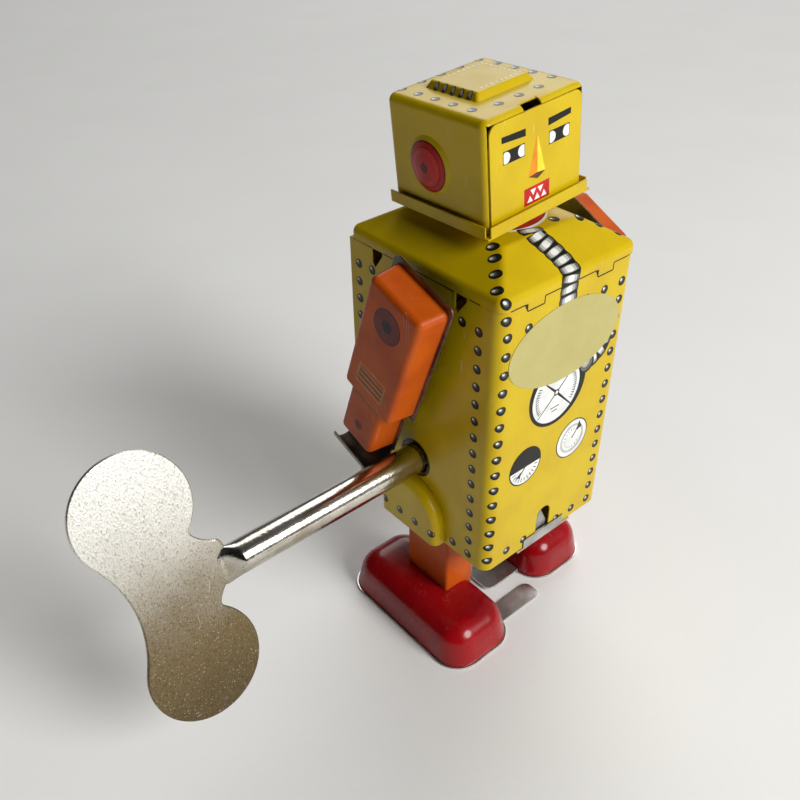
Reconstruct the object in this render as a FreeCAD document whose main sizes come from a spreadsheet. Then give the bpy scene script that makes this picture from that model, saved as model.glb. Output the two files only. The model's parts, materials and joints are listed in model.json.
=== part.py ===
import FreeCAD, Part
import math
import os
import re

import Sketcher
from FreeCAD import Placement, Rotation, Vector

# Wind-up tin robot. Millimetres, +Z up, the robot faces -Y, its right side is -X.
# The origin is on the ground, under the middle of the body.

SIZES = {
    # tinplate and clearances
    "tin": 0.4,
    "running_gap": 0.05,
    # body case
    "body_width": 48.0,
    "body_depth": 54.5,
    "body_bottom": 33.0,
    "shoulder_height": 115.3,
    "body_corner": 3.2,
    "back_flange": 4.0,
    "back_clearance": 0.02,
    # hip domes
    "dome_bulge": 3.8,
    "dome_half": 12.0,
    "dome_top": 50.4,
    "dome_centre": 1.0,
    "dome_rim": 2.2,
    # notch in the bottom edge of the front
    "notch_middle": -0.9,
    "notch_half": 2.7,
    "notch_top": 44.2,
    # bare strip of the base plate under the notch, and the tab bent up in it
    "strip_start": -8.6,
    "strip_end": 7.8,
    "strip_top": 35.9,
    "tab_half": 2.2,
    "tab_shoulder": 37.6,
    "tab_peak": 42.8,
    # stepped seam between the roof's skirt and the case
    "seam_drop": 2.0,
    "seam_gap": 0.14,
    "seam_nick": 1.0,
    "right_tab_start": -15.3,
    "left_tab_start": 9.5,
    "seam_tab_length": 5.7,
    "side_nick_front": -14.4,
    "side_nick_back": 16.0,
    "side_nick_half": 1.9,
    "side_nick_depth": 5.0,
    # hip roof over the shoulders
    "skirt_top": 118.0,
    "roof_run": 11.0,
    "roof_top": 124.6,
    "roof_round": 2.4,
    # neck
    "neck_side": 0.2,
    "neck_front": 1.2,
    "neck_top": 127.85,
    "neck_lean": -4.9,
    "neck_nod": -1.4,
    "collar_radius": 10.0,
    "collar_rise": 2.3,
    "collar_bore": 2.4,
    "rivet_radius": 1.5,
    "rivet_head": 3.2,
    "rivet_head_height": 0.8,
    # head, measured from the underside of its tray
    "head_width": 32.1,
    "head_depth": 32.5,
    "head_centre": 0.9,
    "head_height": 26.6,
    "head_round": 2.0,
    "tray_lip": 3.0,
    "tray_overhang": 1.3,
    "window_half": 15.2,
    "window_top": 25.4,
    "face_half": 14.9,
    "face_bottom": 0.6,
    "face_top": 25.3,
    "face_corner": 2.4,
    "face_flange": 2.5,
    "crown_side": 0.8,
    "crown_middle": 3.2,
    "crown_width": 19.0,
    "crown_depth": 18.0,
    "crown_rise": 1.7,
    "crown_slope": 40.0,
    "crown_round": 0.9,
    "ear_middle": 3.0,
    "ear_level": 12.6,
    "ear_radius": 7.0,
    "ear_rise": 1.5,
    "brow_slot": 5.6,
    "brow_slot_side": -1.2,
    # arms, measured from the shoulder pivot
    "pivot_front": -3.7,
    "pivot_height": 107.3,
    "arm_plate_inner": 28.8,
    "arm_depth": 8.3,
    "arm_half": 9.9,
    "arm_top": 9.4,
    "arm_waist": -29.7,
    "forearm_half": 6.9,
    "arm_bottom": -46.4,
    "arm_draft": 4.0,
    "arm_round": 1.8,
    "plate_margin": 1.0,
    "plate_top_margin": 1.8,
    "hand_radius": 4.7,
    "hand_drop": -50.0,
    "hand_half": 7.2,
    "right_arm_lean": 19.8,
    "left_arm_lean": 26.0,
    "shaft_radius": 1.4,
    "shaft_head": 2.3,
    "spacer_radius": 2.6,
    # legs and shoes
    "half_stride": 4.5,
    "leg_inner": 13.1,
    "leg_outer": 23.4,
    "leg_middle": 1.4,
    "leg_half": 8.7,
    "leg_bottom": 7.0,
    "foot_gap": 0.02,
    "leg_top": 48.0,
    "leg_round": 0.9,
    "hanger_inner": 12.6,
    "hanger_bottom": 12.4,
    "hanger_top": 53.4,
    "stud_play": 0.15,
    "slot_spare": 1.2,
    "right_shoe_middle": 23.5,
    "left_shoe_middle": 20.0,
    "shoe_half": 12.4,
    "shoe_length": 50.4,
    "shoe_height": 12.3,
    "shoe_corner": 7.8,
    "shoe_round": 7.0,
    "shoe_draft": 9.0,
    "sole_thick": 0.6,
    "sole_margin": 0.5,
    "tongue_reach": 6.2,
    "tongue_thick": 0.5,
    "tongue_lift": 1.1,
    "tongue_corner": 2.4,
    "right_tongue_front": -20.0,
    "right_tongue_width": 6.4,
    "left_tongue_front": -18.0,
    "left_tongue_width": 10.0,
    # clockwork frame
    "motor_inner": 10.4,
    "motor_plate": 0.6,
    "motor_front": -14.0,
    "motor_back": 22.0,
    "motor_top": 72.0,
    "pillar_radius": 1.5,
    "pillar_back": 14.9,
    "stud_radius": 1.0,
    "stud_head": 1.8,
    "stud_high": 51.0,
    "stud_low": 34.4,
    # winding arbor, great wheel and spring
    "arbor_front": 1.4,
    "arbor_height": 57.0,
    "arbor_radius": 2.0,
    "square_side": 3.0,
    "square_end": -22.0,
    "spring_width": 11.0,
    "spring_thick": 0.35,
    "spring_pitch": 1.3,
    "spring_inner": 2.5,
    "spring_outer": 11.4,
    "gear_module": 0.5,
    "wheel_thick": 1.0,
    "great_wheel_side": 4.2,
    "thin_share": 0.8,
    "ratchet_side": 5.5,
    "ratchet_radius": 5.0,
    "ratchet_depth": 1.2,
    "click_rest": 4.81,
    "click_wide": 0.4,
    "click_long": 7.2,
    "click_start": 0.9,
    "click_lift": 0.3,
    "click_foot": 1.6,
    # crank shaft and regulator
    "crank_height": 42.0,
    "crank_radius": 1.2,
    "crank_disc": 6.0,
    "crank_pin": 1.0,
    "crank_wheel_side": 7.6,
    "escape_back": 11.9,
    "escape_height": 42.0,
    "escape_arbor": 1.0,
    "escape_wheel_side": 0.0,
    "escape_radius": 5.0,
    "star_root": 0.62,
    "star_rise": 0.3,
    "star_tip": 0.38,
    "pallet_back": 19.0,
    "pallet_height": 37.9,
    "pallet_arbor": 0.8,
    "pallet_hub": 1.9,
    "pallet_clearance": 0.55,
    "pallet_reach": 6.0,
    "pallet_prong": 1.1,
    "pallet_spread": 42.0,
    # winding key
    "key_radius": 4.3,
    "key_bore": 3.5,
    "key_tip": -14.2,
    "key_socket": 9.0,
    "key_neck": -84.0,
    "key_plate": 1.2,
    "lobe_radius": 14.6,
    "lobe_offset": 22.0,
    "lobe_middle": -99.2,
    "wing_slant": 4.4,
    "wing_shift_out": 1.05,
    "wing_shift_up": 1.03,
    "bridge_lean": 50.0,
    "waist_hollow": 31.8,
    "throat_ahead": 1.5,
    "throat_margin": 0.6,
    "hollow_dip": 0.9,
    "key_hole": 5.0,
    "key_turn": 70.0,
}

GREAT_TEETH = 48
CRANK_PINION_TEETH = 12
CRANK_WHEEL_TEETH = 32
ESCAPE_PINION_TEETH = 10
RATCHET_TEETH = 12
ESCAPE_TEETH = 10
# An edge this near to a place, in millimetres, counts as being there.
CLOSE = 0.01
SEAM_TABS = ("right_tab_start", "left_tab_start")

SIDES = {"right": -1, "left": 1}
PLANES = ("XY_Plane", "XZ_Plane", "YZ_Plane")
XY, XZ, YZ = PLANES
X_AXIS = Vector(1, 0, 0)
Y_AXIS = Vector(0, 1, 0)
Z_AXIS = Vector(0, 0, 1)
ORIGIN = Vector(0, 0, 0)
ALONG_X = Rotation(Y_AXIS, 90)

doc = FreeCAD.newDocument("tin_robot")
NODES = []


# ---------------------------------------------------------------- document helpers

def make_sheet():
    """The driving dimensions, one alias a row."""
    sheet = doc.addObject("Spreadsheet::Sheet", "Sizes")
    for row, (name, value) in enumerate(SIZES.items(), start=1):
        sheet.set(f"A{row}", name.replace("_", " "))
        sheet.set(f"B{row}", str(value))
        sheet.setAlias(f"B{row}", name)
    doc.recompute()


def cell(text):
    """An expression in the sheet's names, with the sheet's own name put before each."""
    return re.sub(r"[a-z_]+", lambda word: f"Sizes.{word.group()}", str(text))


def bind(obj, **formulas):
    for prop, text in formulas.items():
        obj.setExpression(prop.replace("__", "."), cell(text))


def node(obj, label):
    """Marks an object as a sub-part under the name of its file."""
    obj.Label = label
    NODES.append(obj)
    return obj


def place_at(obj, x="0", y="0", z="0"):
    for axis, text in zip("xyz", (x, y, z)):
        obj.setExpression(f"Placement.Base.{axis}", cell(text))


# ---------------------------------------------------------------- primitives and booleans

def box(name, size, corner):
    piece = doc.addObject("Part::Box", name)
    bind(piece, Length=size[0], Width=size[1], Height=size[2])
    place_at(piece, *corner)
    return piece


def rod(name, radius, length, start, turn=ALONG_X):
    """A round bar, along +X unless turned."""
    piece = doc.addObject("Part::Cylinder", name)
    bind(piece, Radius=radius, Height=length)
    piece.Placement = Placement(ORIGIN, turn)
    place_at(piece, *start)
    return piece


def fuse(name, pieces):
    joined = doc.addObject("Part::MultiFuse", name)
    joined.Shapes = pieces
    return joined


def cut(name, base, tool):
    trimmed = doc.addObject("Part::Cut", name)
    trimmed.Base = base
    trimmed.Tool = tool
    return trimmed


# ---------------------------------------------------------------- PartDesign helpers

def new_body(name):
    return doc.addObject("PartDesign::Body", name)


def new_sketch(body, plane, offset="0"):
    sketch = body.newObject("Sketcher::SketchObject", f"{body.Name}_outline")
    support = [item for item in body.Origin.OriginFeatures if item.Role == plane]
    sketch.AttachmentSupport = [(support[0], "")]
    sketch.MapMode = "FlatFace"
    sketch.setExpression("AttachmentOffset.Base.z", cell(offset))
    return sketch


def pin_point(sketch, edge, point, u, v):
    """Fixes a sketch point by its two distances from the sketch's origin."""
    for kind, text in (("DistanceX", u), ("DistanceY", v)):
        index = sketch.addConstraint(Sketcher.Constraint(kind, -1, 1, edge, point, 1.0))
        sketch.setExpression(f"Constraints[{index}]", cell(text))


def outline(body, plane, points, offset="0"):
    """A closed loop of straight lines through points given as pairs of formulas."""
    sketch = new_sketch(body, plane, offset)
    count = len(points)
    start = [
        Vector(10 * math.cos(2 * math.pi * i / count), 10 * math.sin(2 * math.pi * i / count), 0)
        for i in range(count)
    ]
    for i in range(count):
        sketch.addGeometry(Part.LineSegment(start[i], start[(i + 1) % count]), False)
    for i in range(count):
        sketch.addConstraint(Sketcher.Constraint("Coincident", i, 2, (i + 1) % count, 1))
    for i, (u, v) in enumerate(points):
        pin_point(sketch, i, 1, u, v)
    return sketch


def rectangle(body, plane, low, high, offset="0"):
    points = [(low[0], low[1]), (high[0], low[1]), (high[0], high[1]), (low[0], high[1])]
    return outline(body, plane, points, offset)


def circle(body, plane, u, v, radius, offset="0"):
    sketch = new_sketch(body, plane, offset)
    sketch.addGeometry(Part.Circle(ORIGIN, Z_AXIS, 5), False)
    pin_point(sketch, 0, 3, u, v)
    index = sketch.addConstraint(Sketcher.Constraint("Radius", 0, 5.0))
    sketch.setExpression(f"Constraints[{index}]", cell(radius))
    return sketch


def arch(body, plane, middle, half, bottom, top, offset="0"):
    """A straight-sided shape with a half-round top."""
    sketch = new_sketch(body, plane, offset)
    corners = [Vector(*xy, 0) for xy in ((-5, 5), (-5, 0), (5, 0), (5, 5))]
    for first, second in zip(corners, corners[1:]):
        sketch.addGeometry(Part.LineSegment(first, second), False)
    dome = Part.ArcOfCircle(Part.Circle(Vector(0, 5, 0), Z_AXIS, 5), 0, math.pi)
    sketch.addGeometry(dome, False)
    joints = ((0, 2, 1, 1), (1, 2, 2, 1), (2, 2, 3, 1), (3, 2, 0, 1))
    for edge, point, other, other_point in joints:
        sketch.addConstraint(Sketcher.Constraint("Coincident", edge, point, other, other_point))
    spring_line = f"({top}) - ({half})"
    pin_point(sketch, 0, 1, f"({middle}) - ({half})", spring_line)
    pin_point(sketch, 1, 1, f"({middle}) - ({half})", bottom)
    pin_point(sketch, 2, 1, f"({middle}) + ({half})", bottom)
    pin_point(sketch, 3, 1, f"({middle}) + ({half})", spring_line)
    index = sketch.addConstraint(Sketcher.Constraint("DistanceY", -1, 1, 3, 3, 1.0))
    sketch.setExpression(f"Constraints[{index}]", cell(spring_line))
    return sketch


def pad(body, sketch, length, back=False, draft=None):
    feature = body.newObject("PartDesign::Pad", f"{sketch.Name}_pad")
    feature.Profile = sketch
    feature.Reversed = back
    bind(feature, Length=length)
    if draft:
        feature.setExpression("TaperAngle", cell(f"-({draft})"))
    return feature


def pocket(body, sketch, length, back=False):
    feature = body.newObject("PartDesign::Pocket", f"{sketch.Name}_pocket")
    feature.Profile = sketch
    feature.Reversed = back
    bind(feature, Length=length)
    return feature


def round_edges(body, radius, wanted):
    """Fillets the edges of the body's last feature that the test picks."""
    doc.recompute()
    base = body.Tip
    names = [f"Edge{i}" for i, edge in enumerate(base.Shape.Edges, start=1) if wanted(edge)]
    feature = body.newObject("PartDesign::Fillet", f"{base.Name}_fillet")
    feature.Base = (base, names)
    bind(feature, Radius=radius)
    return feature


def span(edge, axis):
    """How far an edge reaches along X, Y or Z."""
    limits = edge.BoundBox
    return {"x": limits.XLength, "y": limits.YLength, "z": limits.ZLength}[axis]


def upright(edge):
    return span(edge, "x") < CLOSE and span(edge, "y") < CLOSE and span(edge, "z") > 2


# ---------------------------------------------------------------- body case

def body_shell():
    """Front and both sides, one wrapped sheet, with a drawn dome over each hip."""
    body = new_body("body_shell")
    half, deep, inner = "body_width/2", "body_depth/2", "body_width/2 - tin"
    wrap = [
        (f"-{half}", deep), (f"-{half}", f"-{deep}"), (half, f"-{deep}"), (half, deep),
        (inner, deep), (inner, f"-{deep} + tin"), (f"-({inner})", f"-{deep} + tin"), (f"-({inner})", deep),
    ]
    pad(body, outline(body, XY, wrap, "body_bottom"), "shoulder_height - body_bottom")
    front = -SIZES["body_depth"] / 2
    round_edges(body, "body_corner", lambda e: upright(e) and abs(e.BoundBox.YMin - front) < CLOSE)
    inside = front + SIZES["tin"]
    round_edges(body, "body_corner - tin", lambda e: upright(e) and abs(e.BoundBox.YMin - inside) < CLOSE)
    for side in SIDES.values():
        add_hip_dome(body, side)
    key_hole = circle(body, YZ, "arbor_front", "arbor_height", "key_hole", f"-{half} - 1")
    pocket(body, key_hole, "3", back=True)
    for side in SIDES.values():
        inside = f"{side} * body_width/2 - 2"
        arm_hole = circle(body, YZ, "pivot_front", "pivot_height", "shaft_radius + 0.2", inside)
        pocket(body, arm_hole, "4", back=True)
        for place in ("side_nick_front", "side_nick_back"):
            nick = [
                (f"{place} - side_nick_half", "shoulder_height + 1"),
                (f"{place} - side_nick_half", "shoulder_height - seam_nick"),
                (f"{place} + side_nick_half/2", "shoulder_height - side_nick_depth"),
                (f"{place} + side_nick_half", "shoulder_height - side_nick_depth + seam_nick"),
                (f"{place} + side_nick_half", "shoulder_height + 1"),
            ]
            pocket(body, outline(body, YZ, nick, f"{side} * body_width/2 - 2"), "4", back=True)
    notch = arch(body, XZ, "notch_middle", "notch_half", "body_bottom - 1", "notch_top", "body_depth/2 - 2")
    pocket(body, notch, "4", back=True)
    low, high = ("strip_start - 0.2", "body_bottom - 1"), ("strip_end + 0.2", "strip_top + 0.2")
    pocket(body, rectangle(body, XZ, low, high, "body_depth/2 - 2"), "4", back=True)
    for start in SEAM_TABS:
        step = [
            (f"{start} - seam_nick", "shoulder_height + 1"), (f"{start} - seam_nick", "shoulder_height"),
            (start, "shoulder_height - seam_drop"),
            (f"{start} + seam_tab_length", "shoulder_height - seam_drop"),
            (f"{start} + seam_tab_length", "shoulder_height + 1"),
        ]
        pocket(body, outline(body, XZ, step, "body_depth/2 - 2"), "4", back=True)
    return node(body, "body_shell")


def add_hip_dome(body, side):
    """A drawn bulge that clears the hip, open below and towards the inside."""
    outward = side > 0
    outer = arch(body, YZ, "dome_centre", "dome_half", "body_bottom", "dome_top", f"{side} * body_width/2")
    pad(body, outer, "dome_bulge", back=not outward)
    rim = side * (SIZES["body_width"] / 2 + SIZES["dome_bulge"])
    floor = SIZES["body_bottom"]
    round_edges(
        body, "dome_rim",
        lambda e: abs(e.BoundBox.XMin - rim) < CLOSE and span(e, "x") < CLOSE
        and e.BoundBox.ZMax > floor + 1,
    )
    inner = arch(
        body, YZ, "dome_centre", "dome_half - dome_rim", "body_bottom - 1", "dome_top - dome_rim",
        f"{side} * (body_width/2 - tin - 1)",
    )
    pocket(body, inner, "dome_bulge + 1", back=outward)


def back_panel():
    """Flat back with its side edges turned forward inside the shell."""
    body = new_body("back_panel")
    half = "body_width/2 - tin - back_clearance"
    deep = "body_depth/2"
    profile = [
        (f"-({half})", deep), (half, deep), (half, f"{deep} - back_flange"),
        (f"{half} - tin", f"{deep} - back_flange"), (f"{half} - tin", f"{deep} - tin"),
        (f"-({half} - tin)", f"{deep} - tin"), (f"-({half} - tin)", f"{deep} - back_flange"),
        (f"-({half})", f"{deep} - back_flange"),
    ]
    pad(body, outline(body, XY, profile, "body_bottom"), "shoulder_height - body_bottom")
    return node(body, "back_panel")


def hip_roof(name, inset, floor):
    """The roof's solid form, shrunk by an inset."""
    body = new_body(name)
    half, deep = f"(body_width/2 - {inset})", f"(body_depth/2 - {inset})"
    low, high = (f"-{half}", f"-{deep}"), (half, deep)
    pad(body, rectangle(body, XY, low, high, floor), f"skirt_top - ({floor}) - {inset}/2")
    eaves = rectangle(body, XY, low, high, f"skirt_top - {inset}/2")
    ridge = rectangle(
        body, XY,
        (f"-({half} - roof_run)", f"-({deep} - roof_run)"), (f"{half} - roof_run", f"{deep} - roof_run"),
        f"roof_top - {inset}",
    )
    loft = body.newObject("PartDesign::AdditiveLoft", f"{name}_loft")
    loft.Profile = eaves
    loft.Sections = [ridge]
    bottom = SIZES["shoulder_height"]
    round_edges(body, f"roof_round - {inset}", lambda e: e.BoundBox.ZMax > bottom + 0.1)
    return body


def shoulder_cover():
    outer = hip_roof("roof_outside", "0", "shoulder_height")
    inner = hip_roof("roof_inside", "tin", "shoulder_height - 1")
    hollow = cut("roof_hollow", outer, inner)
    tabs = [
        box(
            f"seam_tab_{i}", ("seam_tab_length - seam_gap", "tin", "seam_drop + 0.5"),
            (start, "-body_depth/2", "shoulder_height - seam_drop + seam_gap"),
        )
        for i, start in enumerate(SEAM_TABS)
    ]
    hole = rod("roof_hole", "collar_bore", "6", ("neck_side", "neck_front", "roof_top - 3"), Rotation())
    return node(cut("shoulder_cover", fuse("roof_skin", [hollow] + tabs), hole), "shoulder_cover")


def base_plate():
    """Bare floor of the clockwork, with a tab bent up into the notch in the front."""
    half = "(motor_inner + motor_plate)"
    floor = box(
        "base_floor", (f"2*{half}", "body_depth - 2*tin", "motor_plate"),
        (f"-{half}", "-body_depth/2 - tin", "body_bottom - motor_plate"),
    )
    strip = box(
        "base_strip", ("strip_end - strip_start", "motor_plate", "strip_top - body_bottom + 0.1"),
        ("strip_start", "-body_depth/2 - tin", "body_bottom - 0.1"),
    )
    tab = new_body("base_tab")
    left, right = "notch_middle - tab_half", "notch_middle + tab_half"
    points = [
        (left, "body_bottom - 0.1"), (right, "body_bottom - 0.1"), (right, "tab_shoulder"),
        ("notch_middle - 0.4", "tab_peak"), (left, "(tab_shoulder + tab_peak) / 2"),
    ]
    pad(tab, outline(tab, XZ, points, "body_depth/2 - tin - 0.9"), "motor_plate")
    return node(fuse("base_plate", [floor, strip, tab]), "base_plate")


# ---------------------------------------------------------------- neck and head

def head_placement():
    """The neck sits a little out of square, so the whole head leans."""
    lean = Rotation(Y_AXIS, SIZES["neck_lean"])
    nod = Rotation(X_AXIS, SIZES["neck_nod"])
    base = Vector(SIZES["neck_side"], SIZES["neck_front"], SIZES["neck_top"])
    return Placement(base, nod.multiply(lean))


def shaped(name, shape, placement=None):
    """A piece whose form comes straight from Part's own functions."""
    piece = doc.addObject("Part::Feature", name)
    piece.Shape = shape
    if placement:
        piece.Placement = placement
    return piece


def neck_collar():
    """Domed ring on the roof."""
    bore, radius, rise = SIZES["collar_bore"], SIZES["collar_radius"], SIZES["collar_rise"]
    lip = 0.5
    low_inner, low_outer = Vector(bore, 0, 0), Vector(radius, 0, 0)
    high_inner, high_outer = Vector(bore, 0, rise), Vector(radius, 0, lip)
    crown = Vector(0.72 * radius, 0, 0.8 * rise)
    edges = [
        Part.makeLine(high_inner, low_inner), Part.makeLine(low_inner, low_outer),
        Part.makeLine(low_outer, high_outer), Part.Arc(high_outer, crown, high_inner).toShape(),
    ]
    ring = Part.Face(Part.Wire(edges)).revolve(ORIGIN, Z_AXIS, 360)
    base = Vector(SIZES["neck_side"], SIZES["neck_front"], SIZES["roof_top"])
    return node(shaped("neck_collar", ring, Placement(base, Rotation())), "neck_collar")


def neck_rivet():
    """Holds the head's tray over the collar, and is the axis that the head turns on."""
    gap = SIZES["running_gap"] * 2
    floor = SIZES["tin"]
    below = SIZES["neck_top"] - SIZES["roof_top"] + floor + 0.5
    shank = Part.makeCylinder(SIZES["rivet_radius"], below + floor + gap, Vector(0, 0, -below))
    upper = Part.makeCylinder(SIZES["rivet_head"], SIZES["rivet_head_height"], Vector(0, 0, floor + gap))
    lower = Part.makeCylinder(SIZES["rivet_head"], floor, Vector(0, 0, -below - floor))
    return node(shaped("neck_rivet", shank.multiFuse([upper, lower]), head_placement()), "neck_rivet")


def rounded(shape, radius, wanted):
    return shape.makeFillet(radius, [edge for edge in shape.Edges if wanted(edge)])


def head_form(inset):
    """The head's closed form with crown and ears, shrunk by an inset."""
    size = SIZES
    half, deep = size["head_width"] / 2 - inset, size["head_depth"] / 2 - inset
    top = size["head_height"] - inset
    base = size["tin"] + 0.05 - inset
    corner = Vector(-half, size["head_centre"] - deep, base)
    block = Part.makeBox(2 * half, 2 * deep, top - base, corner)
    block = rounded(block, size["head_round"] - inset, lambda e: e.BoundBox.ZMax > base + 0.1)
    run = size["crown_rise"] * math.tan(math.radians(size["crown_slope"]))
    peak = top + size["crown_rise"]
    crown = Part.makeLoft([crown_wire(-inset, top - 0.5), crown_wire(-inset - run, peak)], True)
    crown = rounded(crown, size["crown_round"] - inset, lambda e: e.BoundBox.ZMax > peak - 0.01)
    forms = [block, crown]
    dome = size["ear_rise"]
    ball = (size["ear_radius"] ** 2 + dome ** 2) / (2 * dome)
    for side in SIDES.values():
        centre = Vector(side * (half + dome - ball), size["ear_middle"], size["ear_level"])
        outside = Part.makeBox(dome + 1, 60, 60, Vector(side * (half + dome / 2) - (dome + 1) / 2, -30, 0))
        forms.append(Part.makeSphere(ball, centre).common(outside))
    return forms[0].multiFuse(forms[1:]).removeSplitter()


def crown_wire(grow, height):
    """Rectangle of the crown's foot, grown by an amount, at a height."""
    half, deep = SIZES["crown_width"] / 2 + grow, SIZES["crown_depth"] / 2 + grow
    middle = Vector(SIZES["crown_side"], SIZES["crown_middle"], height)
    round_trip = ((-1, -1), (1, -1), (1, 1), (-1, 1), (-1, -1))
    corners = [middle + Vector(x * half, y * deep, 0) for x, y in round_trip]
    return Part.makePolygon(corners)


def head_cap():
    """Top and sides of the head, open in front and behind, with crown and ears drawn in."""
    size = SIZES
    shell = head_form(0).cut(head_form(size["tin"]))
    half = size["window_half"]
    window = Part.makeBox(2 * half, 100, size["window_top"] + 1, Vector(-half, -50, -1))
    slot = Part.makeBox(
        size["brow_slot"], 2.2, 4,
        Vector(
            size["brow_slot_side"] - size["brow_slot"] / 2,
            front_of_head() - 0.2,
            size["window_top"] - 1,
        ),
    )
    below = Part.makeBox(100, 100, 5, Vector(-50, -50, size["tin"] + 0.05 - 5))
    return node(shaped("head_cap", shell.cut(window).cut(slot).cut(below), head_placement()), "head_cap")


def front_of_head():
    return SIZES["head_centre"] - SIZES["head_depth"] / 2


def head_panel(label, front):
    """A flat panel that closes the cap, with its side edges folded in."""
    size = SIZES
    half, low, high = size["face_half"], size["face_bottom"], size["face_top"]
    depth = size["face_flange"]
    corner = Vector(-half, 0, low)
    plate = Part.makeBox(2 * half, depth, high - low, corner)
    plate = rounded(plate, size["face_corner"], lambda e: span(e, "y") > 1 and e.BoundBox.ZMin > high - 1)
    tin = size["tin"]
    inside = Part.makeBox(2 * (half - tin), depth, high - low + 2, Vector(tin - half, tin, low - 1))
    trimmed = 2 * size["face_corner"]
    top_trim = Part.makeBox(2 * half, depth, trimmed, Vector(-half, tin, high - trimmed))
    panel = plate.cut(inside).cut(top_trim)
    if front:
        spot = Placement(Vector(0, front_of_head(), 0), Rotation())
    else:
        back = Vector(0, front_of_head() + size["head_depth"], 0)
        spot = Placement(back, Rotation(Z_AXIS, 180))
    return node(shaped(label, panel, head_placement().multiply(spot)), label)


def head_tray():
    """Tray under the head, with turned-up lips that stop short of its corners."""
    size = SIZES
    over, tin, lip = size["tray_overhang"], size["tin"], size["tray_lip"]
    half = size["head_width"] / 2 + over
    front, back = front_of_head() - over, front_of_head() + size["head_depth"]
    gap = 1.0
    floor = Part.makeBox(2 * half, back - front, tin, Vector(-half, front, 0))
    front_lip = Part.makeBox(2 * half - 2 * gap, tin, lip, Vector(gap - half, front, 0))
    sides = [
        Part.makeBox(tin, back - front - gap, lip, Vector(x, front + gap, 0)) for x in (-half, half - tin)
    ]
    hole = Part.makeCylinder(size["rivet_radius"] + size["running_gap"], 4, Vector(0, 0, -2))
    tray = floor.multiFuse([front_lip] + sides).cut(hole)
    return node(shaped("head_tray", tray, head_placement()), "head_tray")


# ---------------------------------------------------------------- arms

def arm_placement(side):
    lean = SIZES[f"{side}_arm_lean"]
    base = Vector(0, SIZES["pivot_front"], SIZES["pivot_height"])
    return Placement(base, Rotation(X_AXIS, lean))


def arm_outline(body, grow, top_grow, offset):
    """The arm's stepped outline, a wide upper arm over a narrow forearm."""
    wide, narrow = f"(arm_half + {grow})", f"(forearm_half + {grow})"
    waist, bottom = f"arm_waist - {grow}", f"arm_bottom - {grow}"
    points = [
        (f"-{wide}", f"arm_top + {top_grow}"), (f"-{wide}", waist),
        (f"-{narrow}", waist), (f"-{narrow}", bottom),
        (narrow, bottom), (narrow, waist), (wide, waist), (wide, f"arm_top + {top_grow}"),
    ]
    return outline(body, YZ, points, offset)


def arm_form(name, sign, inset):
    """The arm shell's solid form: a tapered pad with rounded edges, shrunk by an inset."""
    body = new_body(name)
    start = f"{sign} * (arm_plate_inner + tin)"
    outside = arm_outline(body, f"-{inset}", f"-{inset}", start)
    pad(body, outside, f"arm_depth - {inset}", sign < 0, "arm_draft")
    doc.recompute()
    face = sign * (SIZES["arm_plate_inner"] + SIZES["tin"])
    round_edges(body, f"arm_round - {inset}", lambda e: outer_edge(e, face))
    return body


def outer_edge(edge, face):
    """Edges away from the open side, but for the two inner corners of the waist."""
    limits = edge.BoundBox
    if abs(limits.XMin - face) < CLOSE and abs(limits.XMax - face) < CLOSE:
        return False
    crosses = span(edge, "x") > 1
    middle = abs(limits.YMin + limits.YMax) / 2
    at_waist = abs(limits.Center.z - SIZES["arm_waist"]) < 1.5
    return not (crosses and at_waist and middle < SIZES["forearm_half"] + 1.2)


def arm_shell(side):
    sign = SIDES[side]
    outer = arm_form(f"arm_outside_{side}", sign, "0")
    inner = arm_form(f"arm_inside_{side}", sign, "tin")
    shell = node(cut(f"arm_shell_{side}", outer, inner), f"arm_shell_{side}")
    shell.Placement = arm_placement(side)


def arm_plate(side):
    """Bare back of the arm, whose lower end is curled outward into a hand."""
    sign = SIDES[side]
    body = new_body(f"arm_back_{side}")
    start = f"{sign} * arm_plate_inner"
    pad(body, arm_outline(body, "plate_margin", "plate_top_margin", start), "tin", sign < 0)
    round_edges(body, "arm_round", lambda e: span(e, "x") > 0.1 and e.BoundBox.ZMin > -5)
    hole = circle(body, YZ, "0", "0", "shaft_radius + running_gap", f"{sign} * (arm_plate_inner - 1)")
    pocket(body, hole, "3", back=sign > 0)
    hand = shaped(f"hand_{side}", hand_shape(sign))
    plate = node(fuse(f"arm_plate_{side}", [body, hand]), f"arm_plate_{side}")
    plate.Placement = arm_placement(side)


def hand_shape(sign):
    """A strip that runs down from the plate and curls out and up."""
    size = SIZES
    thick, radius, drop = size["tin"], size["hand_radius"], size["hand_drop"]
    near = size["arm_plate_inner"]
    top = size["arm_bottom"] - size["plate_margin"] + 0.5
    middle = Vector(near + radius, 0, drop)
    ring = Part.makeCylinder(radius, 2 * size["hand_half"], middle, Y_AXIS)
    ring = ring.cut(Part.makeCylinder(radius - thick, 2 * size["hand_half"], middle, Y_AXIS))
    below = middle - Vector(1.5 * radius, 0, 2 * radius)
    lower = Part.makeBox(3 * radius, 2 * size["hand_half"], 2 * radius, below)
    strip = Part.makeBox(thick, 2 * size["hand_half"], top - drop, Vector(near, 0, drop))
    hand = ring.common(lower).fuse(strip)
    hand.translate(Vector(0, -size["hand_half"], 0))
    return hand if sign > 0 else hand.mirror(ORIGIN, X_AXIS)


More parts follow.
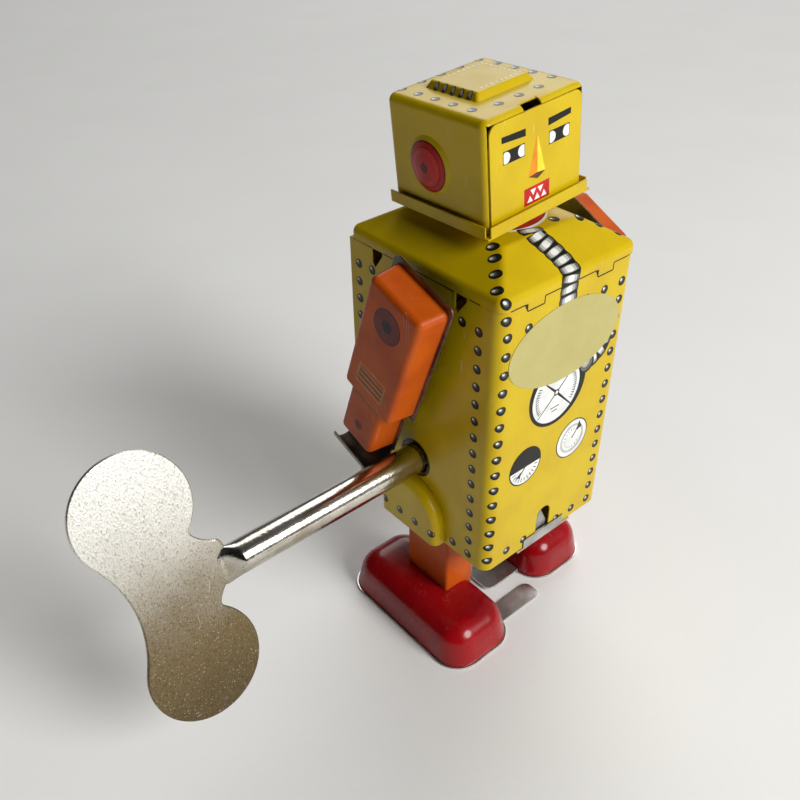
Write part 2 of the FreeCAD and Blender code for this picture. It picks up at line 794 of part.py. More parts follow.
def shoulder_shaft():
    """Cross shaft that both arms hang on, with a headed end inside each arm."""
    reach = "(arm_plate_inner + tin + 0.2)"
    shaft = rod("shaft_bar", "shaft_radius", f"2*{reach}", (f"-{reach}", "pivot_front", "pivot_height"))
    heads = [
        rod("shaft_head_right", "shaft_head", "0.8", (f"-{reach} - 0.8", "pivot_front", "pivot_height")),
        rod("shaft_head_left", "shaft_head", "0.8", (reach, "pivot_front", "pivot_height")),
    ]
    return node(fuse("shoulder_shaft", [shaft] + heads), "shoulder_shaft")


def arm_spacers():
    """A short tube each side keeps the arm off the body."""
    tubes = []
    for side, sign in SIDES.items():
        start = "body_width/2 + 0.1" if sign > 0 else "-(arm_plate_inner - 0.2)"
        length = "arm_plate_inner - body_width/2 - 0.3"
        at = (start, "pivot_front", "pivot_height")
        outer = rod(f"spacer_outer_{side}", "spacer_radius", length, at)
        inner = rod(f"spacer_inner_{side}", "shaft_radius + running_gap", length, at)
        tubes.append(cut(f"spacer_{side}", outer, inner))
    return node(fuse("arm_spacers", tubes), "arm_spacers")


# ---------------------------------------------------------------- legs and shoes

def stride_of(side):
    """Where a foot stands from its middle place: the right one is forward, the left one back."""
    return f"{SIDES[side]} * half_stride"


def leg(side):
    """Folded channel, open towards the other leg, whose lower edge follows the shoe."""
    sign = SIDES[side]
    body = new_body(f"leg_channel_{side}")
    middle = f"(leg_middle + {stride_of(side)})"
    front, back = f"{middle} - leg_half", f"{middle} + leg_half"
    near, far = f"{sign} * leg_inner", f"{sign} * leg_outer"
    skin = f"{sign} * (leg_outer - tin)"
    points = [
        (near, front), (far, front), (far, back), (near, back),
        (near, f"{back} - tin"), (skin, f"{back} - tin"),
        (skin, f"{front} + tin"), (near, f"{front} + tin"),
    ]
    pad(body, outline(body, XY, points, "leg_bottom"), "leg_top - leg_bottom")
    outer = sign * SIZES["leg_outer"]
    round_edges(body, "leg_round", lambda e: upright(e) and abs(e.BoundBox.XMin - outer) < CLOSE)
    return node(cut(f"leg_{side}", body, shoe_form(f"foot_{side}", side, "-foot_gap")), f"leg_{side}")


def leg_hanger(side):
    """Bare plate that carries the leg, slotted for two guide studs and the crank pin."""
    sign = SIDES[side]
    body = new_body(f"leg_hanger_{side}")
    middle = f"(leg_middle + {stride_of(side)})"
    sheet_face = f"{sign} * hanger_inner"
    low, high = (f"{middle} - leg_half", "hanger_bottom"), (f"{middle} + leg_half", "hanger_top")
    pad(body, rectangle(body, YZ, low, high, sheet_face), "tin", sign < 0)
    play = "stud_radius + stud_play"
    openings = [
        (f"half_stride + {play}", play, "stud_high"),
        (f"half_stride + {play}", play, "stud_low"),
        ("crank_pin + stud_play", "half_stride + slot_spare", "crank_height"),
    ]
    for half_long, half_high, level in openings:
        corner = (f"{middle} - ({half_long})", f"{level} - ({half_high})")
        other = (f"{middle} + ({half_long})", f"{level} + ({half_high})")
        slot = rectangle(body, YZ, corner, other, f"{sign} * (hanger_inner - 1)")
        pocket(body, slot, "3", back=sign > 0)
    return node(body, f"leg_hanger_{side}")


def shoe_form(name, side, inset):
    """The shoe's drawn form: a tapered pad with rounded corners, shrunk by an inset."""
    sign = SIDES[side]
    body = new_body(name)
    middle_y = stride_of(side)
    half, long = f"(shoe_half - {inset})", f"(shoe_length/2 - {inset})"
    low = (f"{sign}*{side}_shoe_middle - {half}", f"{middle_y} - {long}")
    high = (f"{sign}*{side}_shoe_middle + {half}", f"{middle_y} + {long}")
    footprint = rectangle(body, XY, low, high, f"sole_thick - {inset}")
    pad(body, footprint, "shoe_height - sole_thick", draft="shoe_draft")
    floor = SIZES["sole_thick"]
    round_edges(body, f"shoe_corner - {inset}", lambda e: span(e, "z") > 5)
    round_edges(body, f"shoe_round - {inset}", lambda e: e.BoundBox.ZMin > floor + 5)
    return body


def shoe(side):
    outer = shoe_form(f"shoe_outside_{side}", side, "0")
    inner = shoe_form(f"shoe_inside_{side}", side, "tin")
    return node(cut(f"shoe_{side}", outer, inner), f"shoe_{side}")


def sole(side):
    """Bare sole with a tongue that reaches under the other half of the body."""
    sign = SIDES[side]
    body = new_body(f"sole_plate_{side}")
    half, long = "(shoe_half + sole_margin)", "(shoe_length/2 + sole_margin)"
    middle_y = stride_of(side)
    low = (f"{sign}*{side}_shoe_middle - {half}", f"{middle_y} - {long}")
    high = (f"{sign}*{side}_shoe_middle + {half}", f"{middle_y} + {long}")
    pad(body, rectangle(body, XY, low, high), "sole_thick")
    round_edges(body, "shoe_corner + sole_margin", lambda e: span(e, "z") > 0.1)
    lift = "0" if side == "right" else "tongue_lift"
    front = f"{middle_y} + {side}_tongue_front"
    edge = f"({side}_shoe_middle - shoe_half - sole_margin)"
    reach = f"tongue_reach + {edge}"
    start = f"-{edge} - 0.3" if sign < 0 else "-tongue_reach"
    tongue = tongue_strip(side, start, f"{start} + {reach} + 0.3", front, lift)
    pieces = [body, tongue]
    if side == "left":
        riser = (f"{edge} - 0.3", front, "0")
        riser_size = ("tongue_thick", "left_tongue_width", "tongue_lift + tongue_thick")
        pieces.append(box("tongue_riser", riser_size, riser))
    return node(fuse(f"sole_{side}", pieces), f"sole_{side}")


def tongue_strip(side, near, far, front, lift):
    """Flat strip whose free end has rounded corners."""
    body = new_body(f"tongue_{side}")
    low, high = (near, front), (far, f"{front} + {side}_tongue_width")
    pad(body, rectangle(body, XY, low, high, lift), "tongue_thick")
    free_end = -SIDES[side] * SIZES["tongue_reach"]
    at_end = lambda e: abs(e.BoundBox.XMin - free_end) < CLOSE
    round_edges(body, "tongue_corner", lambda e: span(e, "z") > 0.1 and at_end(e))
    return body


# ---------------------------------------------------------------- clockwork frame

def motor_plate(side):
    """One side plate of the clockwork, drilled for the arbors."""
    sign = SIDES[side]
    body = new_body(f"motor_plate_{side}")
    start = f"{sign} * motor_inner"
    low, high = ("motor_front", "body_bottom"), ("motor_back", "motor_top")
    pad(body, rectangle(body, YZ, low, high, start), "motor_plate", sign < 0)
    holes = [
        ("arbor_front", "arbor_height", "arbor_radius"),
        ("arbor_front", "crank_height", "crank_radius"),
        ("escape_back", "escape_height", "escape_arbor"),
        ("pallet_back", "pallet_height", "pallet_arbor"),
    ]
    for front, height, radius in holes:
        hole = circle(body, YZ, front, height, f"{radius} + running_gap", f"{sign} * (motor_inner - 1)")
        pocket(body, hole, "3", back=sign > 0)
    return node(body, f"motor_plate_{side}")


PILLARS = (
    ("motor_front + 3", "motor_top - 4"), ("pillar_back", "motor_top - 4"),
    ("motor_front + 3", "body_bottom + 4"),
)


def frame_pillars():
    bars = [
        rod(f"pillar_{i}", "pillar_radius", "2*motor_inner", ("-motor_inner", front, height))
        for i, (front, height) in enumerate(PILLARS)
    ]
    return node(fuse("frame_pillars", bars), "frame_pillars")


def guide_studs():
    """Headed studs on the frame's plates, which the leg hangers slide along."""
    studs = []
    for side, sign in SIDES.items():
        for level in ("stud_high", "stud_low"):
            name = f"{level}_{side}"
            foot, head = "motor_inner + motor_plate", "hanger_inner + tin + stud_play"
            start = foot if sign > 0 else f"-({head})"
            shank = rod(f"{name}_shank", "stud_radius", f"{head} - ({foot})", (start, "leg_middle", level))
            start = head if sign > 0 else f"-({head} + 0.5)"
            cap = rod(f"{name}_cap", "stud_head", "0.5", (start, "leg_middle", level))
            studs.append(fuse(name, [shank, cap]))
    return node(fuse("guide_studs", studs), "guide_studs")


# ---------------------------------------------------------------- gears

def tooth_angle(base, radius):
    """The involute's polar angle where it reaches a radius."""
    turn = math.sqrt(max((radius / base) ** 2 - 1, 0))
    return turn - math.atan(turn)


def gear_shape(teeth, thick, bore, phase, slack=0.06):
    """Spur gear about +X: involute flanks, shortened tips and a little backlash."""
    module = SIZES["gear_module"]
    pitch = module * teeth / 2
    base = pitch * math.cos(math.radians(20))
    tip, root = pitch + 0.8 * module, pitch - 1.2 * module
    half_tooth = math.pi / (2 * teeth) - slack / pitch
    steps = 5
    low = max(base, root)
    points = []
    for i in range(teeth):
        middle = phase + 2 * math.pi * i / teeth
        for flank in (-1, 1):
            radii = [low + (tip - low) * k / steps for k in range(steps + 1)]
            if flank > 0:
                radii.reverse()
            side = [
                (r, middle + flank * (half_tooth + tooth_angle(base, pitch) - tooth_angle(base, r)))
                for r in radii
            ]
            foot = (root, side[0][1] if flank < 0 else side[-1][1])
            if root < base:
                side = [foot] + side if flank < 0 else side + [foot]
            points += side
    return disc_from_outline(points, thick, bore)


def disc_from_outline(points, thick, bore):
    """A plate about +X from polar points, with a round bore."""
    corners = [Vector(0, r * math.cos(a), r * math.sin(a)) for r, a in points]
    plate = Part.Face(Part.makePolygon(corners + corners[:1])).extrude(Vector(thick, 0, 0))
    return plate.cut(Part.makeCylinder(bore, thick + 2, Vector(-1, 0, 0), X_AXIS))


def at_arbor(x, front, height):
    return Placement(Vector(SIZES[x], SIZES[front], SIZES[height]), Rotation())


def great_wheel():
    """Driving wheel, free on the winding arbor."""
    shape = gear_shape(GREAT_TEETH, SIZES["wheel_thick"], SIZES["arbor_radius"] + SIZES["running_gap"], 0)
    place = at_arbor("great_wheel_side", "arbor_front", "arbor_height")
    return node(shaped("great_wheel", shape, place), "great_wheel")


def ratchet_points():
    """Saw teeth: each rises along its back and drops along a radius."""
    outer, inner = SIZES["ratchet_radius"], SIZES["ratchet_radius"] - SIZES["ratchet_depth"]
    points = []
    for i in range(RATCHET_TEETH):
        start = 2 * math.pi * i / RATCHET_TEETH
        points += [(inner, start), (outer, start + 0.92 * 2 * math.pi / RATCHET_TEETH)]
    return points


def ratchet_wheel():
    shape = disc_from_outline(ratchet_points(), SIZES["wheel_thick"], SIZES["arbor_radius"])
    place = at_arbor("ratchet_side", "arbor_front", "arbor_height")
    return node(shaped("ratchet_wheel", shape, place), "ratchet_wheel")


def click_leaf():
    """Leaf spring on the great wheel, whose free end lies against a ratchet tooth."""
    size = SIZES
    tip, wide, foot = size["click_rest"], size["click_wide"], size["click_foot"]
    lift, along = size["click_lift"], size["click_start"]
    breadth = size["wheel_thick"] * size["thin_share"]
    leaf = Part.makeBox(breadth, size["click_long"], wide, Vector(lift, along, tip))
    foot_corner = Vector(0, along + size["click_long"] - wide, tip + wide / 2 - foot / 2)
    foot = Part.makeBox(breadth + lift, foot, foot, foot_corner)
    base = Vector(size["great_wheel_side"] + size["wheel_thick"], size["arbor_front"], size["arbor_height"])
    return node(shaped("click_leaf", leaf.fuse(foot), Placement(base, Rotation())), "click_leaf")


def winding_arbor():
    """Spring arbor, squared at the end that the key fits."""
    size = SIZES
    end = size["motor_inner"] + size["motor_plate"] + 0.3
    bar = Part.makeCylinder(size["arbor_radius"], 2 * end, Vector(-end, 0, 0), X_AXIS)
    side = size["square_side"]
    corner = Vector(size["square_end"], -side / 2, -side / 2)
    square = Part.makeBox(-size["square_end"] - end + 0.2, side, side, corner)
    return node(shaped("winding_arbor", bar.fuse(square), key_placement()), "winding_arbor")


def key_placement():
    """The arbor's axis, turned as the key stands."""
    base = Vector(0, SIZES["arbor_front"], SIZES["arbor_height"])
    return Placement(base, Rotation(X_AXIS, SIZES["key_turn"]))


def mainspring():
    """Flat spiral made of half turns, whose outer end runs up and hooks over a frame pillar."""
    size = SIZES
    pitch, thick = size["spring_pitch"], size["spring_thick"]
    radius, centre, sign = size["spring_inner"], 0.0, 1
    inner, outer = [], []
    while radius < size["spring_outer"]:
        for chain, r in ((inner, radius), (outer, radius + thick)):
            chain.append(half_turn(centre, 0, sign * r))
        last = centre + radius
        centre += sign * pitch / 2
        radius += pitch / 2
        sign = -sign
    rise = size["motor_top"] - 4 - size["arbor_height"]
    hook = size["pillar_back"] - size["arbor_front"]
    for chain, front in ((inner, last), (outer, last + thick)):
        chain.append(Part.makeLine(Vector(0, front, 0), Vector(0, front, rise)))
        chain.append(half_turn(hook, rise, front - hook, -1))
    first = Part.makeLine(inner[0].Vertexes[0].Point, outer[0].Vertexes[0].Point)
    final = Part.makeLine(inner[-1].Vertexes[-1].Point, outer[-1].Vertexes[-1].Point)
    loop = Part.Wire(Part.__sortEdges__([first] + outer + [final] + inner))
    band = Part.Face(loop).extrude(Vector(size["spring_width"], 0, 0))
    start = size["great_wheel_side"] - 0.8 - size["spring_width"]
    base = Vector(start, size["arbor_front"], size["arbor_height"])
    return node(shaped("mainspring", band, Placement(base, Rotation())), "mainspring")


def half_turn(middle, height, reach, way=1):
    """Half circle in the YZ plane that starts at its reach and ends opposite."""
    start = Vector(0, middle + reach, height)
    top = Vector(0, middle, height + way * reach)
    end = Vector(0, middle - reach, height)
    return Part.Arc(start, top, end).toShape()


# ---------------------------------------------------------------- crank shaft and regulator

def crank_shaft():
    start = "motor_inner + motor_plate + 0.8"
    near_end = (f"-({start})", "arbor_front", "crank_height")
    return node(rod("crank_shaft", "crank_radius", f"2*({start})", near_end), "crank_shaft")


def crank_disc(side):
    """Disc with an off-centre pin; the two pins stand opposite each other."""
    sign = SIDES[side]
    inner = "(motor_inner + motor_plate + 0.1)"
    start = inner if sign > 0 else f"-({inner} + 0.7)"
    name = f"crank_disc_{side}"
    plate = rod(f"{name}_plate", "crank_disc", "0.7", (start, "arbor_front", "crank_height"))
    bore = rod(f"{name}_bore", "crank_radius", "0.7", (start, "arbor_front", "crank_height"))
    start = f"{inner} + 0.6" if sign > 0 else f"-({inner} + 1.2)"
    pin_place = (start, f"arbor_front + {sign} * half_stride", "crank_height")
    pin = rod(f"{name}_pin", "crank_pin", "0.6", pin_place)
    return node(fuse(name, [cut(f"{name}_ring", plate, bore), pin]), name)


def crank_pinion():
    """Meshes with the great wheel straight above it."""
    phase = math.pi / CRANK_PINION_TEETH
    thick = SIZES["wheel_thick"] + 0.6
    shape = gear_shape(CRANK_PINION_TEETH, thick, SIZES["crank_radius"], phase)
    place = at_arbor("great_wheel_side", "arbor_front", "crank_height")
    place.Base.x -= 0.3
    return node(shaped("crank_pinion", shape, place), "crank_pinion")


def crank_wheel():
    thick = SIZES["wheel_thick"] * SIZES["thin_share"]
    shape = gear_shape(CRANK_WHEEL_TEETH, thick, SIZES["crank_radius"], 0)
    place = at_arbor("crank_wheel_side", "arbor_front", "crank_height")
    return node(shaped("crank_wheel", shape, place), "crank_wheel")


def escape_pinion():
    """Meshes with the crank wheel, straight behind it."""
    phase = math.pi + math.pi / ESCAPE_PINION_TEETH
    shape = gear_shape(ESCAPE_PINION_TEETH, SIZES["wheel_thick"] * 1.2, SIZES["escape_arbor"], phase)
    place = at_arbor("crank_wheel_side", "escape_back", "escape_height")
    place.Base.x -= 0.2
    return node(shaped("escape_pinion", shape, place), "escape_pinion")


def escape_arbor():
    end = "(motor_inner + motor_plate)"
    near_end = (f"-{end}", "escape_back", "escape_height")
    return node(rod("escape_arbor", "escape_arbor", f"2*{end}", near_end), "escape_arbor")


def escape_wheel():
    """Star wheel that the pallet checks."""
    size = SIZES
    outer, root = size["escape_radius"], size["star_root"] * size["escape_radius"]
    points = []
    for i in range(ESCAPE_TEETH):
        start = 2 * math.pi * i / ESCAPE_TEETH
        points += [(root, start), (outer, start + size["star_rise"]), (outer, start + size["star_tip"])]
    shape = disc_from_outline(points, size["wheel_thick"] * size["thin_share"], size["escape_arbor"])
    place = at_arbor("escape_wheel_side", "escape_back", "escape_height")
    return node(shaped("escape_wheel", shape, place), "escape_wheel")


def pallet_arbor():
    end = "(motor_inner + motor_plate)"
    near_end = (f"-{end}", "pallet_back", "pallet_height")
    return node(rod("pallet_arbor", "pallet_arbor", f"2*{end}", near_end), "pallet_arbor")


def pallet():
    """Rocking pallet: a hub and two prongs that straddle the star wheel."""
    size = SIZES
    thick = size["wheel_thick"]
    hub = Part.makeCylinder(size["pallet_hub"], thick, ORIGIN, X_AXIS)
    clear = size["escape_radius"] + size["pallet_clearance"]
    back = size["escape_back"] - size["pallet_back"]
    rise = size["escape_height"] - size["pallet_height"]
    to_wheel = Vector(0, back, rise)
    heading = math.atan2(to_wheel.z, to_wheel.y)
    prong = size["pallet_prong"]
    arms = []
    for swing in (-1, 1):
        angle = heading + swing * math.radians(size["pallet_spread"])
        arm = Part.makeBox(thick, size["pallet_reach"], prong, Vector(0, 0, -prong / 2))
        arm.rotate(ORIGIN, X_AXIS, math.degrees(angle))
        arms.append(arm)
    around = Part.makeCylinder(clear, thick + 2, to_wheel - Vector(1, 0, 0), X_AXIS)
    bore = Part.makeCylinder(size["pallet_arbor"], thick + 2, Vector(-1, 0, 0), X_AXIS)
    shape = hub.multiFuse(arms).cut(around).cut(bore)
    place = at_arbor("escape_wheel_side", "pallet_back", "pallet_height")
    return node(shaped("pallet", shape, place), "pallet")


# ---------------------------------------------------------------- winding key

def winding_key():
    """One sheet rolled into a tube and left flat at the end as two round lobes."""
    size = SIZES
    tip, neck = size["key_tip"], size["key_neck"]
    radius, thick = size["key_radius"], size["key_plate"]
    tube = Part.makeCylinder(radius, tip - neck, Vector(neck, 0, 0), X_AXIS)
    bore = Part.makeCylinder(size["key_bore"], tip - size["key_socket"] - neck, Vector(neck, 0, 0), X_AXIS)
    hole = size["square_side"] + 4 * size["running_gap"]
    deep_end = Vector(tip - size["key_socket"] - 1, -hole / 2, -hole / 2)
    square = Part.makeBox(size["key_socket"] + 2, hole, hole, deep_end)
    tube = tube.cut(bore).cut(square)
    lobes = [
        Part.makeCylinder(size["lobe_radius"], thick, Vector(size["lobe_middle"], y, -thick / 2))
        for y in (-size["lobe_offset"], size["lobe_offset"])
    ]
    bridge = Part.Face(Part.Wire(key_bridge())).extrude(Vector(0, 0, thick))
    bridge.translate(Vector(0, 0, -thick / 2))
    wings = lobes[0].multiFuse([lobes[1], bridge])
    wings.rotate(Vector(size["lobe_middle"], 0, 0), Z_AXIS, size["wing_slant"])
    wings.translate(Vector(-size["wing_shift_out"], size["wing_shift_up"], 0))
    key = tube.fuse(wings).removeSplitter()
    return node(shaped("winding_key", key, key_placement()), "winding_key")


def key_bridge():
    """Outline between the lobes: a smooth hollow at the far end, and one on each side of the neck."""
    size = SIZES
    middle, offset, radius = size["lobe_middle"], size["lobe_offset"], size["lobe_radius"]
    neck, half = size["key_neck"] + size["throat_ahead"], size["key_radius"] + size["throat_margin"]
    lean = math.radians(size["bridge_lean"])
    across, along = radius * math.cos(lean), offset - radius * math.sin(lean)
    near = [Vector(middle + across, y * along, 0) for y in (-1, 1)]
    reach = radius + size["waist_hollow"]
    back, share = math.sqrt(reach ** 2 - offset ** 2), radius / reach
    far = [Vector(middle - back * share, y * offset * (1 - share), 0) for y in (-1, 1)]
    waist = Vector(middle - back + size["waist_hollow"], 0, 0)
    throat = [Vector(neck, y * half, 0) for y in (-1, 1)]
    dip = size["hollow_dip"]
    hollow = [
        Vector((near[i].x + neck) / 2 - dip, (near[i].y + throat[i].y) / 2 - (-1, 1)[i] * dip, 0)
        for i in (0, 1)
    ]
    return [
        Part.Arc(far[0], waist, far[1]).toShape(),
        Part.makeLine(far[1], near[1]),
        Part.Arc(near[1], hollow[1], throat[1]).toShape(),
        Part.makeLine(throat[1], throat[0]),
        Part.Arc(throat[0], hollow[0], near[0]).toShape(),
        Part.makeLine(near[0], far[0]),
    ]


# ---------------------------------------------------------------- assembly

def build():
    make_sheet()
    body_shell()
    back_panel()
    shoulder_cover()
    base_plate()
    neck_collar()
    neck_rivet()
    head_cap()
    head_panel("face_plate", front=True)
    head_panel("head_back", front=False)
    head_tray()
    shoulder_shaft()
    arm_spacers()
    frame_pillars()
    guide_studs()
    mainspring()
    for side in SIDES:
        arm_shell(side)
        arm_plate(side)
        leg(side)
        leg_hanger(side)
        shoe(side)
        sole(side)
        motor_plate(side)
        crank_disc(side)
    great_wheel()
    click_leaf()
    ratchet_wheel()
    winding_arbor()
    winding_key()
    crank_shaft()
    crank_pinion()
    crank_wheel()
    escape_arbor()
    escape_pinion()
    escape_wheel()
    pallet_arbor()
    pallet()


def sound(shape):
    return not shape.isNull() and shape.isValid() and len(shape.Solids) > 0


def check():
    """Every object has to be computed, and every sub-part has to be a sound solid."""
    doc.recompute()
    broken = [item.Name for item in doc.Objects if "Invalid" in item.State or "Error" in item.State]
    if broken:
        raise RuntimeError(f"objects that failed: {broken}")
    unsound = [item.Label for item in NODES if not sound(item.Shape)]
    if unsound:
        raise RuntimeError(f"sub-parts without a sound shape: {unsound}")


def export():
    os.makedirs("parts", exist_ok=True)
    for item in NODES:
        item.Shape.exportStep(f"parts/{item.Label}.step")
        print(f"{item.Label:22s} solids {len(item.Shape.Solids)}  volume {item.Shape.Volume:9.2f} mm3")


build()
check()
export()
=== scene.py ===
import json
import math

import bmesh
import bpy
from mathutils import Matrix, Vector
from mathutils.bvhtree import BVHTree


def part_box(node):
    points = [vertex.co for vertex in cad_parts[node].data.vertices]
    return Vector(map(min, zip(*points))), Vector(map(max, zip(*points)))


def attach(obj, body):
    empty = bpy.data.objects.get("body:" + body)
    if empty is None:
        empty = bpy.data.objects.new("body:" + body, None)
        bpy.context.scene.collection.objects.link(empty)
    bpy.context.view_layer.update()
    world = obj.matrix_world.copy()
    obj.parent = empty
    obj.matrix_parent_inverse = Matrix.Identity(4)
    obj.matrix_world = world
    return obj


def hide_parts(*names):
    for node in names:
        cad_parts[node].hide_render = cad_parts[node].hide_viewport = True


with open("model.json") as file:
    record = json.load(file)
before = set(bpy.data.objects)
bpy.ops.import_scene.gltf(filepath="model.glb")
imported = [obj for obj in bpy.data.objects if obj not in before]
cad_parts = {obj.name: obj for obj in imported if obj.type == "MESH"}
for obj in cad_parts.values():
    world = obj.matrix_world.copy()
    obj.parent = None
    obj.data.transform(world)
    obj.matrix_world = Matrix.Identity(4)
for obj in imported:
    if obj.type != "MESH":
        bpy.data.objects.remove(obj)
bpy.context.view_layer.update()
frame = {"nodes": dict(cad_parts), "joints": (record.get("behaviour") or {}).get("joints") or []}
JOINTS = {joint["name"]: joint for joint in frame["joints"]}

# Lengths below are in millimetres. MM turns them into metres.
MM = 0.001
X, Y, Z = Vector((1, 0, 0)), Vector((0, 1, 0)), Vector((0, 0, 1))

# How far the layers of ink stand off the tin, from the first one printed to the last.
FIRST, SECOND, THIRD, FOURTH = 0.030, 0.045, 0.060, 0.075


# ---------------------------------------------------------------- places

def limits(node):
    low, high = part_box(node)
    return low / MM, high / MM


def joint_place(name):
    return Vector(JOINTS[name]["pos_m"]) / MM


CASE_LOW, CASE_HIGH = limits("body_shell")
ROOF_HIGH = limits("shoulder_cover")[1]
NECK = joint_place("head_turn")
NECK_AXIS = Vector(JOINTS["head_turn"]["axis"]).normalized()
SHOULDER = joint_place("left_arm_swing")
ARBOR = joint_place("winding_turn")

# How far each arm leans from upright at rest, and how far the key is turned on its arbor.
ARM_LEAN = {"right": math.radians(19.8), "left": math.radians(26)}
KEY_TURN = math.radians(70)

# Half the case's width between its domes, and the hip roof: where its skirt ends and how far it slopes in.
CASE_HALF = 24.0
SKIRT_TOP = 118.0
ROOF_RUN = 11.0

# The stepped seam between the roof's skirt and the case, as seen from the front.
SEAM = {"level": 115.3, "drop": 2.0, "nick": 1.0, "tab_length": 5.7, "tabs": (-15.3, 9.5)}


def head_axes():
    """The head's own right, back and up, as the neck leans it."""
    lean = math.asin(NECK_AXIS.x)
    nod = math.atan2(-NECK_AXIS.y, NECK_AXIS.z)
    turn = Matrix.Rotation(nod, 3, "X") @ Matrix.Rotation(lean, 3, "Y")
    return turn @ X, turn @ Y, turn @ Z


# ---------------------------------------------------------------- material nodes

def linear(red, green, blue):
    """A display colour, 0 to 255 each, as the linear colour a shader wants."""
    def open_up(value):
        value /= 255
        return value / 12.92 if value <= 0.04045 else ((value + 0.055) / 1.055) ** 2.4
    return open_up(red), open_up(green), open_up(blue), 1.0


class Graph:
    """Builds the nodes of one material."""

    def __init__(self, name):
        self.material = bpy.data.materials.new(name)
        self.material.use_nodes = True
        self.tree = self.material.node_tree
        self.shader = self.tree.nodes["Principled BSDF"]
        self.place = self.add("ShaderNodeTexCoord").outputs["Object"]

    def add(self, kind, **settings):
        node = self.tree.nodes.new(kind)
        for name, value in settings.items():
            setattr(node, name, value)
        return node

    def feed(self, socket, value):
        if isinstance(value, bpy.types.NodeSocket):
            self.tree.links.new(value, socket)
        else:
            socket.default_value = value

    def set(self, name, value):
        self.feed(self.shader.inputs[name], value)

    def stretched(self, scale, turn=(0, 0, 0)):
        node = self.add("ShaderNodeMapping")
        self.feed(node.inputs["Vector"], self.place)
        self.feed(node.inputs["Rotation"], turn)
        self.feed(node.inputs["Scale"], scale)
        return node.outputs["Vector"]

    def noise(self, size, detail=2.0, where=None):
        """Soft noise with features about size millimetres across."""
        node = self.add("ShaderNodeTexNoise")
        self.feed(node.inputs["Vector"], where or self.place)
        self.feed(node.inputs["Scale"], 1 / (size * MM))
        self.feed(node.inputs["Detail"], detail)
        return node.outputs["Fac"]

    def cells(self, size):
        """Distance to the middle of the nearest of many cells about size millimetres across."""
        node = self.add("ShaderNodeTexVoronoi")
        self.feed(node.inputs["Vector"], self.place)
        self.feed(node.inputs["Scale"], 1 / (size * MM))
        return node.outputs["Distance"]

    def math(self, operation, first, second=0.0):
        node = self.add("ShaderNodeMath", operation=operation)
        self.feed(node.inputs[0], first)
        self.feed(node.inputs[1], second)
        return node.outputs[0]

    def steps(self, factor, low, high, start=0.0, end=1.0):
        """Goes smoothly from start to end as the factor goes from low to high."""
        node = self.add("ShaderNodeMapRange", interpolation_type="SMOOTHSTEP")
        self.feed(node.inputs["Value"], factor)
        self.feed(node.inputs["From Min"], low)
        self.feed(node.inputs["From Max"], high)
        self.feed(node.inputs["To Min"], start)
        self.feed(node.inputs["To Max"], end)
        return node.outputs["Result"]

    def blend(self, factor, first, second):
        node = self.add("ShaderNodeMix", data_type="RGBA")
        self.feed(node.inputs[0], factor)
        self.feed(node.inputs[6], first)
        self.feed(node.inputs[7], second)
        return node.outputs[2]

    def bump(self, height, depth, strength=1.0, under=None):
        """Relief of this depth in millimetres, over another relief if one is given."""
        node = self.add("ShaderNodeBump")
        self.feed(node.inputs["Height"], height)
        self.feed(node.inputs["Distance"], depth * MM)
        self.feed(node.inputs["Strength"], strength)
        if under:
            self.feed(node.inputs["Normal"], under)
        return node.outputs["Normal"]

    def soft_edges(self, radius):
        node = self.add("ShaderNodeBevel", samples=6)
        node.inputs["Radius"].default_value = radius * MM
        return node.outputs["Normal"]

    def edge_mask(self, radius):
        """1 on sharp edges and 0 on open faces."""
        geometry = self.add("ShaderNodeNewGeometry")
        node = self.add("ShaderNodeVectorMath", operation="DOT_PRODUCT")
        self.feed(node.inputs[0], self.soft_edges(radius))
        self.feed(node.inputs[1], geometry.outputs["Normal"])
        return self.steps(node.outputs["Value"], 0.9, 0.995, 1.0, 0.0)

    def scratches(self, size, seed):
        """Rare fine lines that run in two directions."""
        turns = ((0.4, 0.9, 0.3 + seed), (1.1, 0.2, 1.9 + seed))
        lines = []
        for turn in turns:
            long_noise = self.noise(size, 0.0, self.stretched((1, 1, 0.05), turn))
            off_middle = self.math("ABSOLUTE", self.math("SUBTRACT", long_noise, 0.5))
            line = self.steps(off_middle, 0.0, 0.005, 1.0, 0.0)
            rare = self.steps(self.noise(5 + 2 * seed, 1.0, self.stretched((1, 1, 0.5), turn)), 0.64, 0.70)
            lines.append(self.math("MULTIPLY", line, rare))
        return self.math("MAXIMUM", *lines)


